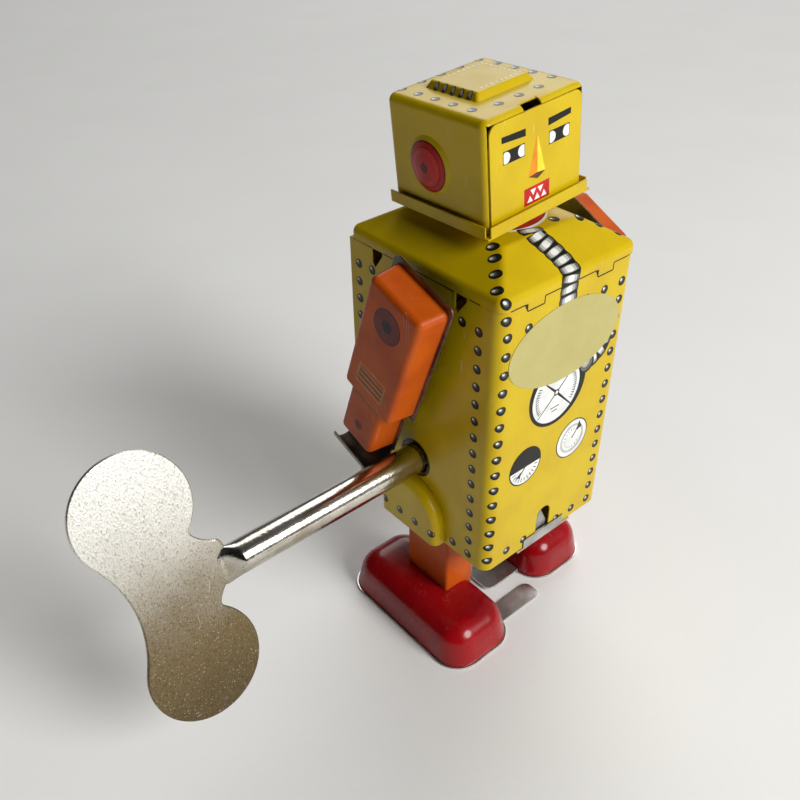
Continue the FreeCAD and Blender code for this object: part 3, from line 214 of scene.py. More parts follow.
def lacquer(name, colour, deep, rough=0.28, coat=0.1, speck=0.5, seed=0.0):
    """Printed enamel on tinplate, with a slight ripple, specks, hairline scratches and rubbed edges."""
    g = Graph(name)
    cloud = g.noise(14, 3.0)
    fine = g.noise(0.7, 2.0)
    tone = g.blend(g.steps(cloud, 0.35, 0.7), linear(*colour), linear(*deep))
    tone = g.blend(g.math("MULTIPLY", g.steps(fine, 0.45, 0.75), 0.16), tone, linear(*deep))
    dots = g.steps(g.cells(1.9), 0.05, 0.09, 1.0, 0.0)
    dots = g.math("MULTIPLY", dots, g.steps(g.noise(6, 1.0), 0.58, 0.66))
    tone = g.blend(g.math("MULTIPLY", dots, speck), tone, linear(62, 46, 26))
    edge = g.math("MULTIPLY", g.edge_mask(0.22), g.steps(g.noise(1.6, 2.0), 0.36, 0.62))
    tone = g.blend(g.math("MULTIPLY", edge, 0.5), tone, linear(84, 66, 44))
    hair = g.scratches(2.4, seed)
    tone = g.blend(g.math("MULTIPLY", hair, 0.35), tone, linear(246, 236, 206))
    g.set("Base Color", tone)
    g.set("Roughness", g.steps(g.noise(5, 3.0), 0.4, 0.75, rough, rough + 0.1))
    g.set("Coat Weight", coat)
    g.set("Coat Roughness", 0.09)
    g.set("IOR", 1.3)
    ripple = g.bump(g.noise(2.6, 1.0), 0.05, 0.35, g.soft_edges(0.3))
    g.set("Normal", g.bump(g.math("SUBTRACT", fine, hair), 0.012, 0.4, ripple))
    return g.material


def ink(name, colour, deep):
    """Printing ink with the grain of the print."""
    g = Graph(name)
    grain = g.noise(0.35, 2.0)
    cloud = g.noise(4, 2.0)
    tone = g.blend(g.steps(cloud, 0.35, 0.7), linear(*colour), linear(*deep))
    g.set("Base Color", g.blend(g.steps(grain, 0.5, 0.8, 0.0, 0.3), tone, linear(*deep)))
    g.set("Roughness", g.steps(grain, 0.3, 0.7, 0.3, 0.38))
    g.set("IOR", 1.34)
    g.set("Normal", g.bump(g.noise(2.6, 1.0), 0.04, 0.3))
    return g.material


def metal(name, colour, deep, stain, rough=0.3, grain=0.5, relief=0.01, drawn=None):
    """Bare metal with a rolled or drawn grain, stains and bright worn edges."""
    g = Graph(name)
    cloud = g.noise(7, 3.0)
    where = g.stretched(drawn) if drawn else None
    lines = g.noise(grain, 3.0, where)
    tone = g.blend(g.steps(cloud, 0.35, 0.68), linear(*colour), linear(*deep))
    tone = g.blend(g.steps(lines, 0.45, 0.8, 0.0, 0.45), tone, linear(*deep))
    spots = g.steps(g.noise(2.2, 4.0), 0.6, 0.72, 0.0, stain)
    tone = g.blend(spots, tone, linear(64, 48, 34))
    edge = g.math("MULTIPLY", g.edge_mask(0.15), g.steps(g.noise(1.2, 2.0), 0.3, 0.6))
    g.set("Base Color", g.blend(g.math("MULTIPLY", edge, 0.6), tone, linear(236, 232, 224)))
    g.set("Metallic", 1.0)
    g.set("Roughness", g.steps(lines, 0.25, 0.75, rough, rough + 0.16))
    scored = g.math("SUBTRACT", lines, g.scratches(2.0, 0.7))
    g.set("Normal", g.bump(scored, relief, 0.6, g.soft_edges(0.12)))
    return g.material


def key_metal():
    """Nickel over a coarse blasted grain, pale at the upper lobe as a painted reflection and dark and warm
    towards the lower lobe as painted shade, with a few long scratches.
    """
    g = Graph("key_nickel_grain")
    parts = g.add("ShaderNodeSeparateXYZ")
    g.feed(parts.inputs[0], g.place)
    coarse = g.noise(0.42, 3.0, g.stretched((1, 1, 0.55)))
    pits = g.cells(0.6)
    # painted reflection and shade: the colour runs from pale nickel at the upper lobe to dark and warm at
    # the lower lobe
    height = g.math("ADD", parts.outputs["Z"], g.math("MULTIPLY", g.noise(12, 3.0), 0.016))
    tone = g.blend(g.steps(height, 0.050, 0.092), linear(128, 110, 78), linear(236, 234, 226))
    tone = g.blend(g.steps(height, 0.028, 0.052, 0.55, 0.0), tone, linear(84, 72, 50))
    tone = g.blend(g.steps(coarse, 0.46, 0.72, 0.0, 0.55), tone, linear(70, 60, 44))
    tone = g.blend(g.steps(g.noise(0.35, 2.0), 0.62, 0.72, 0.0, 0.45), tone, linear(255, 252, 240))
    hair = g.scratches(3.2, 0.25)
    tone = g.blend(g.math("MULTIPLY", hair, 0.8), tone, linear(250, 248, 240))
    edge = g.math("MULTIPLY", g.edge_mask(0.35), g.steps(g.noise(1.5, 2.0), 0.3, 0.6))
    g.set("Base Color", g.blend(g.math("MULTIPLY", edge, 0.6), tone, linear(236, 228, 210)))
    g.set("Metallic", 1.0)
    g.set("Roughness", g.steps(coarse, 0.3, 0.7, 0.3, 0.46))
    relief = g.bump(coarse, 0.11, 0.7)
    g.set("Normal", g.bump(g.math("SUBTRACT", pits, hair), 0.03, 0.45, relief))
    return g.material


def tube_metal():
    """The key's rolled tube: bright nickel with a fine hammered grain."""
    g = Graph("key_nickel_tube")
    lines = g.noise(0.8, 3.0, g.stretched((0.06, 1, 1)))
    fine = g.noise(0.5, 2.0)
    tone = g.blend(g.steps(g.noise(9, 2.0), 0.35, 0.7), linear(214, 209, 198), linear(176, 167, 150))
    tone = g.blend(g.steps(lines, 0.5, 0.8, 0.0, 0.4), tone, linear(110, 98, 80))
    g.set("Base Color", g.blend(g.steps(fine, 0.55, 0.75, 0.0, 0.5), tone, linear(90, 80, 64)))
    g.set("Metallic", 1.0)
    g.set("Roughness", g.steps(fine, 0.3, 0.7, 0.12, 0.22))
    relief = g.bump(g.noise(0.9, 2.0), 0.05, 0.6, g.bump(g.noise(3.5, 1.0), 0.06, 0.5))
    g.set("Normal", g.bump(lines, 0.012, 0.4, relief))
    return g.material


def paper(name, colour, deep):
    """Gilt paper: fine fibre, slightly silky."""
    g = Graph(name)
    fibre = g.noise(0.25, 4.0, g.stretched((0.4, 1, 1.6)))
    cloud = g.noise(8, 2.0)
    tone = g.blend(g.steps(cloud, 0.3, 0.75), linear(*colour), linear(*deep))
    g.set("Base Color", g.blend(g.steps(fibre, 0.5, 0.8, 0.0, 0.25), tone, linear(*deep)))
    g.set("Metallic", 0.2)
    g.set("Roughness", g.steps(fibre, 0.3, 0.7, 0.42, 0.56))
    g.set("Normal", g.bump(fibre, 0.02, 0.5, g.bump(g.noise(6, 2.0), 0.08, 0.3)))
    return g.material


MATERIALS = {
    "yellow_tin": lacquer("yellow_enamel", (206, 177, 5), (197, 165, 3)),
    "orange_tin": lacquer(
        "orange_enamel", (196, 86, 14), (176, 70, 10), rough=0.34, coat=0.0, speck=0.3, seed=0.3),
    "red_tin": lacquer(
        "red_enamel", (160, 12, 20), (142, 8, 15), rough=0.24, coat=0.35, speck=0.2, seed=0.6),
    "bare_tin": metal(
        "bare_tinplate", (206, 205, 202), (172, 170, 166), stain=0.2, grain=0.7, relief=0.012),
    # painted shade: a darker copy of the bare tinplate, for the arm plates that sit in shade
    "shaded_tin": metal(
        "shaded_tinplate", (128, 122, 114), (88, 82, 74), stain=0.4, grain=0.7, relief=0.012),
    "frame_steel": metal(
        "frame_steel", (168, 166, 162), (128, 124, 118), stain=0.3, drawn=(0.1, 1, 1)),
    "spring_steel": metal(
        "blued_steel", (76, 84, 104), (48, 50, 62), stain=0.2, rough=0.24, grain=0.4, relief=0.006,
        drawn=(1, 0.08, 1)),
    "gear_brass": metal(
        "gear_brass", (206, 166, 84), (172, 130, 58), stain=0.25, rough=0.26, grain=0.35, relief=0.008),
    "key_nickel": key_metal(),
    "tube_nickel": tube_metal(),
    "black": ink("ink_black", (9, 9, 9), (17, 16, 13)),
    "slate": ink("ink_slate", (34, 34, 30), (48, 46, 38)),
    "grey": ink("ink_grey", (112, 112, 104), (92, 92, 84)),
    "pale_grey": ink("ink_pale_grey", (186, 186, 180), (166, 166, 158)),
    "white": ink("ink_white", (236, 236, 232), (216, 217, 214)),
    "cream": ink("ink_cream", (206, 156, 96), (188, 136, 78)),
    "red": ink("ink_red", (196, 28, 24), (168, 16, 16)),
    "deep_red": ink("ink_deep_red", (120, 30, 12), (104, 22, 10)),
    "dark_red": ink("ink_dark_red", (92, 16, 8), (76, 10, 6)),
    # painted highlight: a lighter red for the ear's ridges
    "ear_ring": ink("ink_ear_ridge_highlight", (206, 44, 30), (190, 34, 24)),
    "amber": ink("ink_amber", (236, 148, 30), (220, 126, 22)),
    "lemon": ink("ink_lemon", (246, 222, 60), (238, 208, 44)),
    "brown": ink("ink_brown", (96, 62, 22), (76, 46, 14)),
    "gold": paper("gilt_paper", (190, 180, 114), (184, 173, 106)),
}

for name, obj in frame["nodes"].items():
    for place in obj.material_slots:
        # the arm plates take the darker copy of the bare tinplate, which is painted shade
        slot = "shaded_tin" if name.startswith("arm_plate") else place.material.name.split(".")[0]
        place.material = MATERIALS[slot]


# ---------------------------------------------------------------- meshes

def surface_of(nodes):
    """The faces of some CAD nodes, in millimetres, to lay prints on."""
    points, faces = [], []
    for name in nodes:
        data = frame["nodes"][name].data
        first = len(points)
        points += [vertex.co / MM for vertex in data.vertices]
        faces += [[first + i for i in polygon.vertices] for polygon in data.polygons]
    return BVHTree.FromPolygons(points, faces)


def keep(name, mesh, materials, body, smooth=False):
    """Makes a piece from a bmesh in millimetres."""
    data = bpy.data.meshes.new(name)
    bmesh.ops.scale(mesh, vec=(MM, MM, MM), verts=mesh.verts)
    mesh.to_mesh(data)
    mesh.free()
    for material in materials:
        data.materials.append(MATERIALS[material])
    for polygon in data.polygons:
        polygon.use_smooth = smooth
    obj = bpy.data.objects.new(name, data)
    bpy.context.scene.collection.objects.link(obj)
    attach(obj, body)
    return obj


class Board:
    """A flat drawing board held over the toy, and the tin that a drawing on it lands on.

    It finds tin from reach in front of the board to twice as far behind it.
    """

    def __init__(self, origin, right, up, tin=None, reach=14):
        self.origin, self.right, self.up = Vector(origin), Vector(right), Vector(up)
        self.out = self.right.cross(self.up)
        self.tin, self.reach = tin, reach

    def at(self, across, along):
        """The place that a point of the drawing lands on, and the way out of the surface there."""
        flat = self.origin + self.right * across + self.up * along
        if self.tin:
            start = flat + self.out * self.reach
            hit, normal, _, _ = self.tin.ray_cast(start, -self.out, 3 * self.reach)
            if hit:
                return hit, normal
        return flat, self.out


class Fold:
    """A board folded about lines that run across it: along follows its legs, each a length and a way."""

    def __init__(self, start, legs):
        self.start, self.legs = Vector(start), legs

    def at(self, across, along):
        place, rest = self.start.copy(), along
        for index, (length, way) in enumerate(self.legs):
            way = Vector(way).normalized()
            if rest <= length or index == len(self.legs) - 1:
                return place + way * rest + X * across, X.cross(-way)
            place += way * length
            rest -= length


class Print:
    """Films of ink on the tin, each one thin and closed, gathered into one piece."""

    def __init__(self, board, *inks, depth=0.05):
        self.board, self.inks, self.depth = board, list(inks), depth
        self.mesh = bmesh.new()

    def lay(self, point, height):
        place, out = self.board.at(*point)
        return self.mesh.verts.new(place + out * height)

    def skin(self, verts, ink_name):
        self.mesh.faces.new(verts).material_index = self.inks.index(ink_name)

    def film(self, outline, ink_name, height, rings=1):
        """A film inside an outline, in rings about its middle where it has to follow a curved place."""
        count = len(outline)
        middle = sum(outline, Vector((0, 0))) / count
        loops = [
            [middle + (point - middle) * ring / rings for point in outline]
            for ring in range(rings, 0, -1)
        ]
        low = [self.lay(point, -self.depth) for point in outline]
        tops = [[self.lay(point, height) for point in loop] for loop in loops]
        self.skin(low[::-1], ink_name)
        for outer, inner in zip([low] + tops, tops):
            for i in range(count):
                j = (i + 1) % count
                self.skin((outer[i], outer[j], inner[j], inner[i]), ink_name)
        self.skin(tops[-1], ink_name)

    def disc(self, across, along, radius, ink_name, height, rings=1, sides=20, squash=1.0, turn=0.0):
        cos, sin = math.cos(turn), math.sin(turn)
        outline = []
        for i in range(sides):
            angle = 2 * math.pi * i / sides
            u, v = radius * math.cos(angle), radius * squash * math.sin(angle)
            outline.append(Vector((across + u * cos - v * sin, along + u * sin + v * cos)))
        self.film(outline, ink_name, height, rings)

    def strip(self, upper, lower, ink_name, height):
        """A film between two lines of points."""
        rows = [
            [self.lay(a, height), self.lay(b, height), self.lay(b, -self.depth), self.lay(a, -self.depth)]
            for a, b in zip(upper, lower)
        ]
        self.skin(rows[0], ink_name)
        self.skin(rows[-1][::-1], ink_name)
        for near, far in zip(rows, rows[1:]):
            for i in range(4):
                j = (i + 1) % 4
                self.skin((near[j], near[i], far[i], far[j]), ink_name)

    def stroke(self, path, width, ink_name, height):
        """A line of even width, or of a width for each point."""
        path = [Vector(point) for point in path]
        widths = width if isinstance(width, (list, tuple)) else [width] * len(path)
        upper, lower = [], []
        for i, point in enumerate(path):
            way = (path[min(i + 1, len(path) - 1)] - path[max(i - 1, 0)]).normalized()
            side = Vector((-way.y, way.x)) * widths[i] / 2
            upper.append(point + side)
            lower.append(point - side)
        self.strip(upper, lower, ink_name, height)

    def corners(self, points, ink_name, height):
        """A film with straight sides between a few corners."""
        self.film([Vector(point) for point in points], ink_name, height)

    def ring(self, across, along, radius, width, ink_name, height, start=0.0, end=360.0, sides=48):
        angles = [math.radians(start + (end - start) * i / sides) for i in range(sides + 1)]
        path = [(across + radius * math.cos(a), along + radius * math.sin(a)) for a in angles]
        self.stroke(path, width, ink_name, height)

    def rivet(self, across, along, rings=1):
        """A printed rivet head, shaded as if light came from the upper left."""
        radius = 1.3
        shadow = 0.14 * radius
        self.disc(across + shadow, along - shadow, radius, "black", FIRST, rings)
        self.disc(across - 0.2 * shadow, along + 0.2 * shadow, 0.74 * radius, "slate", SECOND, rings)
        self.disc(across - 0.6 * shadow, along + 0.9 * shadow, 0.46 * radius, "grey", THIRD, rings)
        self.disc(across - 0.20 * radius, along + 0.25 * radius, 0.27 * radius, "white", FOURTH, rings, 12)

    def done(self, name, body):
        bmesh.ops.recalc_face_normals(self.mesh, faces=self.mesh.faces)
        keep(name, self.mesh, self.inks, body)


RIVET_INKS = ("black", "slate", "grey", "white")
CASE_TIN = surface_of(["body_shell", "shoulder_cover", "back_panel"])


# ---------------------------------------------------------------- print and painted shade on the body

# The upright rows of rivets on the sides and back: the level of the top one, their pitch and number.
ROW_TOP, ROW_PITCH, ROW_COUNT = 108.4, 5.17, 15


def front_board():
    return Board((0, CASE_LOW.y, 0), X, Z, CASE_TIN)


def column(sheet, top, bottom, count, skip=(), rings=1):
    """A row of printed rivets between two points, both included."""
    top, bottom = Vector(top), Vector(bottom)
    for i in range(count):
        if i not in skip:
            sheet.rivet(*top.lerp(bottom, i / (count - 1)), rings=rings)


def front_rivets():
    top_left, top_right = (-21.4, 108.6), (19.5, 108.8)
    low_left, low_right = (-22.5, 36.9), (18.6, 35.8)
    sheet = Print(front_board(), *RIVET_INKS)
    column(sheet, top_left, low_left, ROW_COUNT, rings=3)
    column(sheet, top_right, (18.7, 35.8), ROW_COUNT, skip=(ROW_COUNT - 1,))
    column(sheet, top_left, top_right, 7, skip=(0, 6))
    column(sheet, low_left, low_right, 7, skip=(0, 3))
    for place in ((-22.3, 117.6), (-22.0, 113.2)):
        sheet.rivet(*place, rings=4)
    sheet.done("front_rivets", "case")


def seam_shade():
    """Painted shade that darkens the stepped seam under the roof's skirt."""
    level, drop, nick = SEAM["level"], SEAM["drop"], SEAM["nick"]
    line = [(-CASE_HALF + 3, level)]
    for start in SEAM["tabs"]:
        end = start + SEAM["tab_length"]
        line += [(start - nick, level), (start, level - drop), (end, level - drop), (end, level)]
    line.append((CASE_HALF - 0.6, level))
    # painted shade: black lines along the seam, and black corners in the nick at each tab
    sheet = Print(front_board(), "black")
    for start, end in zip(line, line[1:]):
        start, end = Vector(start), Vector(end)
        count = max(1, round((end - start).length / 2))
        path = [start.lerp(end, i / count) for i in range(count + 1)]
        sheet.stroke(path, 0.34, "black", 0.015)
    for start in SEAM["tabs"]:
        sheet.corners([(start - nick, level), (start, level - drop), (start, level)], "black", 0.02)
    sheet.done("seam_shade", "case")


def ticks(sheet, middle, inner, outer, start, end, count, width=0.22, colour="slate"):
    """Marks round a dial from one angle to another, in degrees."""
    for i in range(count):
        angle = math.radians(start + (end - start) * i / (count - 1))
        way = Vector((math.cos(angle), math.sin(angle)))
        sheet.stroke([middle + way * inner, middle + way * outer], width, colour, THIRD)


def pressure_gauge(sheet):
    """The large gauge: a scale on each side and two crossed hands."""
    middle, hub = Vector((-1.4, 84.1)), Vector((-1.34, 84.17))
    sheet.disc(-0.9, 84.7, 10.7, "black", FIRST, sides=56)
    sheet.disc(*middle, 8.9, "white", SECOND, sides=56)
    scales = ((150, 215), (-35, 30))
    for start, end in scales:
        sheet.ring(*middle, 7.5, 0.18, "grey", THIRD, start, end)
    for start, end in scales:
        ticks(sheet, middle, 6.6, 7.9, start, end, 12)
    sheet.stroke([(-6.3, 88.9), hub, (5.2, 77.4)], [0.35, 0.75, 0.35], "black", 0.062)
    sheet.stroke([(-7.8, 78.4), hub, (4.9, 90.0)], [0.25, 0.45, 0.25], "black", 0.062)
    sheet.disc(*hub, 0.95, "black", FOURTH, sides=24)
    sheet.disc(*hub, 0.55, "white", 0.090, sides=20)
    for start, end, level in ((-3.2, 0.2, 79.6), (-2.6, -0.4, 78.5)):
        sheet.stroke([(start, level), (end, level)], 0.3, "slate", 0.062)


def ringed_gauge(sheet):
    """The small gauge with a grey ring and an arrow for a hand."""
    middle = Vector((7.6, 64.6))
    sheet.disc(*middle, 6.3, "black", FIRST, sides=48)
    sheet.disc(*middle, 5.95, "white", SECOND, sides=48)
    sheet.ring(*middle, 4.3, 0.75, "pale_grey", THIRD)
    ticks(sheet, middle, 2.6, 3.4, 40, 320, 15, 0.2, "grey")
    sheet.corners([(10.0, 69.5), (11.3, 67.0), (9.2, 66.6)], "slate", FOURTH)
    sheet.stroke([middle, (10.2, 68.0)], [0.5, 0.25], "slate", 0.070)


def half_black_gauge(sheet):
    """The small gauge whose upper half is black."""
    middle, radius, steps = Vector((-10.9, 64.8)), 5.8, 28
    sheet.disc(*middle, 6.05, "black", FIRST, sides=48)
    sheet.disc(*middle, 5.65, "white", SECOND, sides=48)
    angles = [math.radians(-3 + 186 * i / steps) for i in range(steps + 1)]
    upper = [middle + Vector((radius * math.cos(a), radius * math.sin(a))) for a in angles]
    sheet.film(upper, "black", THIRD)
    ticks(sheet, middle, 3.7, 5.0, 195, 345, 11, 0.25)
    sheet.corners([(-14.3, 62.2), (-12.4, 63.5), (-12.7, 61.6)], "black", FOURTH)
    sheet.stroke([(-12.6, 62.6), (-10.9, 64.7)], 0.4, "black", 0.070)


def dials():
    sheet = Print(front_board(), "black", "slate", "grey", "pale_grey", "white")
    pressure_gauge(sheet)
    ringed_gauge(sheet)
    half_black_gauge(sheet)
    sheet.done("dials", "case")


def gilt_label():
    """The blank oval label stuck on the front."""
    half_length, half_height, tilt = 20.45, 11.35, math.radians(-2.7)
    sheet = Print(front_board(), "gold", depth=0.02)
    sheet.disc(0, 99.1, half_length, "gold", 0.16, sides=96, squash=half_height / half_length, turn=tilt)
    sheet.done("gilt_label", "case")


def curve_point(a, b, c, d, t):
    """A point on the smooth line from b to c that comes from a and goes on to d."""
    bend, rise = 2 * a - 5 * b + 4 * c - d, 3 * b - a - 3 * c + d
    return 0.5 * (2 * b + (c - a) * t + bend * t * t + rise * t ** 3)


def smooth_path(points, step):
    """Points at an even step along a smooth line through some others."""
    points = [Vector(point) for point in points]
    padded = [2 * points[0] - points[1]] + points + [2 * points[-1] - points[-2]]
    line = []
    for near_points in zip(padded, padded[1:], padded[2:], padded[3:]):
        line += [curve_point(*near_points, i / 24) for i in range(24)]
    line.append(points[-1])
    path, gone, wanted = [line[0]], 0.0, step
    for near, far in zip(line, line[1:]):
        length = (far - near).length
        while length and gone + length >= wanted:
            path.append(near.lerp(far, (wanted - gone) / length))
            wanted += step
        gone += length
    return path


def hose(sheet, points, pitch=2.7, width=5.6):
    """A printed corrugated hose: a black line under round shaded bands."""
    fine = 4
    path = smooth_path(points, pitch / fine)
    pinch = (0.0, 0.22, 0.5, 0.22)
    swell = [width + 0.95 - pinch[(i + 2) % fine] for i in range(len(path))]
    sheet.stroke(path, swell, "black", FIRST)
    for start in range(0, len(path) - fine, fine):
        hose_band(sheet, path[start], path[start + fine], pitch, width)


def hose_band(sheet, near, far, pitch, width):
    """One band of a hose, in three shades, each narrower than the one under it."""
    way = (far - near).normalized()
    side, middle = Vector((way.y, -way.x)), near.lerp(far, 0.5)
    shades = (
        (-0.5, 0.5, 0.38, "grey", SECOND),
        (-0.38, 0.36, 0.36, "pale_grey", 0.058),
        (-0.22, 0.18, 0.32, "white", 0.070),
    )
    for low, high, half, colour, height in shades:
        row = [low + (high - low) * i / 8 for i in range(9)]
        centre, spread = (low + high) / 2, (high - low) / 2
        bulge = [half * pitch * math.sqrt(1 - 0.5 * ((s - centre) / spread) ** 2) for s in row]
        upper = [middle + side * width * s + way * b for s, b in zip(row, bulge)]
        lower = [middle + side * width * s - way * b for s, b in zip(row, bulge)]
        sheet.strip(upper, lower, colour, height)


def roof_fold():
    """From under the neck down the roof's front slope and on down the front."""
    top = ROOF_HIGH.z
    edge = CASE_LOW.y + ROOF_RUN
    start = Vector((0, -9, top))
    slope = (0, -ROOF_RUN, SKIRT_TOP - top)
    return Fold(start, [(start.y - edge, (0, -1, 0)), (Vector(slope).length, slope), (90, (0, 0, -1))])


def hose_print():
    fold = roof_fold()
    flat, sloped = fold.legs[0][0], fold.legs[0][0] + fold.legs[1][0]
    sheet = Print(fold, "black", "grey", "pale_grey", "white")
    down = [(-1.5, 4.4), (-1.9, 5.4), (-2.4, flat), (-2.2, flat + 1.6), (-1.4, flat + 4.3)]
    down += [(-0.9, flat + 6.7), (-0.5, flat + 9.6), (-0.55, sloped), (-1.06, sloped + 2)]
    down += [(-1.05, sloped + 4), (-1.1, sloped + 9)]
    hose(sheet, down)
    sheet.done("hose_print", "case")

    sheet = Print(front_board(), "black", "slate", "grey", "pale_grey", "white")
    hook = [(11.0, 99.5), (14.0, 97.6), (16.2, 94.6), (15.6, 91.0), (12.6, 88.9), (9.2, 88.4)]
    hose(sheet, hook, width=4.4)
    # the round fitting on its end
    sheet.disc(9.9, 88.0, 2.7, "black", 0.080, sides=28)
    sheet.disc(9.6, 88.2, 2.25, "grey", 0.092, sides=28)
    sheet.disc(9.3, 88.6, 1.4, "pale_grey", 0.104, sides=24)
    sheet.disc(9.0, 88.9, 0.6, "white", 0.116, sides=16)
    sheet.done("hose_end_print", "case")


def neck_disc():
    """Red disc printed on the roof round the neck, with a thin darker red ring; its white edge, shown
    mostly towards the front, is a painted highlight.
    """
    board = Board((NECK.x, NECK.y, ROOF_HIGH.z), X, Y, CASE_TIN)
    sheet = Print(board, "red", "white", "deep_red")
    # painted highlight: the white disc shows as an edge round the red, mostly at the front
    sheet.disc(0, -1.6, 13.2, "white", 0.02, rings=7, sides=64)
    sheet.disc(0.3, -1.2, 12.8, "deep_red", 0.03, rings=7, sides=64)
    sheet.disc(0.3, -1.2, 12.4, "red", 0.04, rings=7, sides=64)
    sheet.done("neck_disc", "case")


def roof_rivets():
    """Rivets down the two front hips, each row on the slope beside the hip."""
    slope = Vector((0, ROOF_RUN, ROOF_HIGH.z - SKIRT_TOP)).normalized()
    board = Board((0, CASE_LOW.y, SKIRT_TOP), X, slope, CASE_TIN)
    sheet = Print(board, *RIVET_INKS)
    stretch = 1 / slope.y
    left = [(-14.0, -14.6), (-16.1, -17.2), (-19.0, -20.4), (-21.9, -23.7)]
    right = [(6.9, -14.4), (13.1, -16.6), (17.2, -19.7), (20.7, -23.1)]
    for across, back in left + right:
        sheet.rivet(across, (back - CASE_LOW.y) * stretch, rings=3)
    sheet.done("roof_rivets", "case")


def side_print_and_seam_shade(side):
    """Rivets round a side of the case, and painted shade along the seam above them."""
    sign = -1 if side == "right" else 1
    front_row, back_row = sign * -20.4, sign * 24.0
    board = Board((sign * CASE_HALF, 0, 0), Y * sign, Z, CASE_TIN)
    sheet = Print(board, *RIVET_INKS)
    # painted shade: black lines along the seam under the roof's skirt
    for start, end in ((-20.6, -16.9), (-12.0, 13.6), (18.4, 26.0)):
        sheet.stroke([(sign * start, SEAM["level"]), (sign * end, SEAM["level"])], 0.3, "black", 0.015)
    for i in range(ROW_COUNT):
        level = ROW_TOP - ROW_PITCH * i
        sheet.rivet(front_row, level, rings=2)
        sheet.rivet(back_row, level + 0.6, rings=2)
    for i in range(1, 8):
        sheet.rivet(front_row + sign * 5.55 * i, 108.6 + 0.08 * i)
    low_row = [(y, 36.0) for y in (-14.3, 16.2)] + [(y, 37.6) for y in (-9.0, -2.4, 4.3, 10.9)]
    for y, level in low_row:
        sheet.rivet(sign * y, level, rings=2)
    sheet.done(f"side_print_and_seam_shade_{side}", "case")


def key_hole_shade():
    """Painted shade round the key hole: a black ring for the dark gap and shadow between the tube and the
    tin.
    """
    board = Board((-CASE_HALF, ARBOR.y, ARBOR.z), -Y, Z)
    # painted shade: the black ring stands where the gap round the tube is in shade
    sheet = Print(board, "black")
    sheet.ring(0, 0, 5.5, 0.9, "black", 0.04, sides=40)
    sheet.done("key_hole_shade", "case")


def back_print():
    """Rivets round the back, and a printed louvre."""
    half, louvre_half = 20.6, 11
    board = Board((0, CASE_HIGH.y, 0), -X, Z, CASE_TIN)
    sheet = Print(board, *RIVET_INKS)
    for i in range(ROW_COUNT):
        sheet.rivet(-half, ROW_TOP - ROW_PITCH * i)
        sheet.rivet(half, ROW_TOP - ROW_PITCH * i)
    for i in range(1, 7):
        sheet.rivet(-half + 5.886 * i, ROW_TOP)
        sheet.rivet(-half + 5.886 * i, 36.0)
    for i in range(6):
        slot, light = 92 - 3.4 * i, 92.42 - 3.4 * i
        sheet.stroke([(-louvre_half, slot), (louvre_half, slot)], 1.2, "black", FIRST)
        sheet.stroke([(-louvre_half, light), (louvre_half, light)], 0.34, "grey", SECOND)
    sheet.done("back_print", "case")


# ---------------------------------------------------------------- print on the head, with painted highlight and shade on the ears

HEAD_TIN = surface_of(["head_cap", "face_plate", "head_back"])


def eye_print(sheet, sign):
    """An eyebrow, and an eye with its white on both sides of the pupil."""
    brow = [(3.66, 19.9), (11.23, 20.5), (11.23, 21.9), (3.66, 21.6)]
    eye = [(3.98, 15.4), (10.84, 15.5), (10.84, 18.5), (3.98, 18.5)]
    for shape in (brow, eye):
        sheet.corners([(sign * u, v) for u, v in shape], "black", FIRST)
    for white in (4.75, 10.0):
        outline = []
        for i in range(28):
            angle = 2 * math.pi * i / 28
            across = min(max(white + 1.4 * math.cos(angle), 4.12), 10.7)
            outline.append((sign * across, 16.95 + 1.36 * math.sin(angle)))
        sheet.corners(outline, "white", SECOND)


def face_print():
    right, back, up = head_axes()
    board = Board(NECK - back * 15.35, right, up, HEAD_TIN, reach=4)
    sheet = Print(board, "black", "white", "amber", "lemon", "brown", "red")
    for sign in (-1, 1):
        eye_print(sheet, sign)
    bridge, tip, left_wing, right_wing = (0.1, 19.2), (0.2, 9.2), (-2.7, 9.9), (2.8, 9.9)
    sheet.corners([bridge, left_wing, tip], "amber", FIRST)
    sheet.corners([bridge, tip, right_wing], "lemon", SECOND)
    sheet.corners([left_wing, (0.2, 8.7), right_wing, (0.2, 10.2)], "brown", THIRD)
    sheet.corners([(-4.23, 3.07), (4.23, 3.1), (4.3, 7.35), (-4.2, 7.3)], "red", FIRST)
    upper = [(u, 6.6, -1) for u in (-1.2, 1.2)]
    lower = [(u, 3.7, 1) for u in (-2.3, 0.1, 2.4)]
    for u, v, way in upper + lower:
        sheet.corners([(u - 0.95, v), (u, v + way * 1.55), (u + 0.95, v)], "white", SECOND)
    sheet.done("face_print", "head")


def pale_rivet(sheet, across, along):
    radius = 1.15
    sheet.disc(across + 0.1, along - 0.1, radius, "slate", FIRST)
    sheet.disc(across, along, 0.86 * radius, "grey", SECOND)
    sheet.disc(across - 0.2, along + 0.22, 0.5 * radius, "pale_grey", THIRD)
    sheet.disc(across - 0.28, along + 0.32, 0.24 * radius, "white", FOURTH, sides=12)


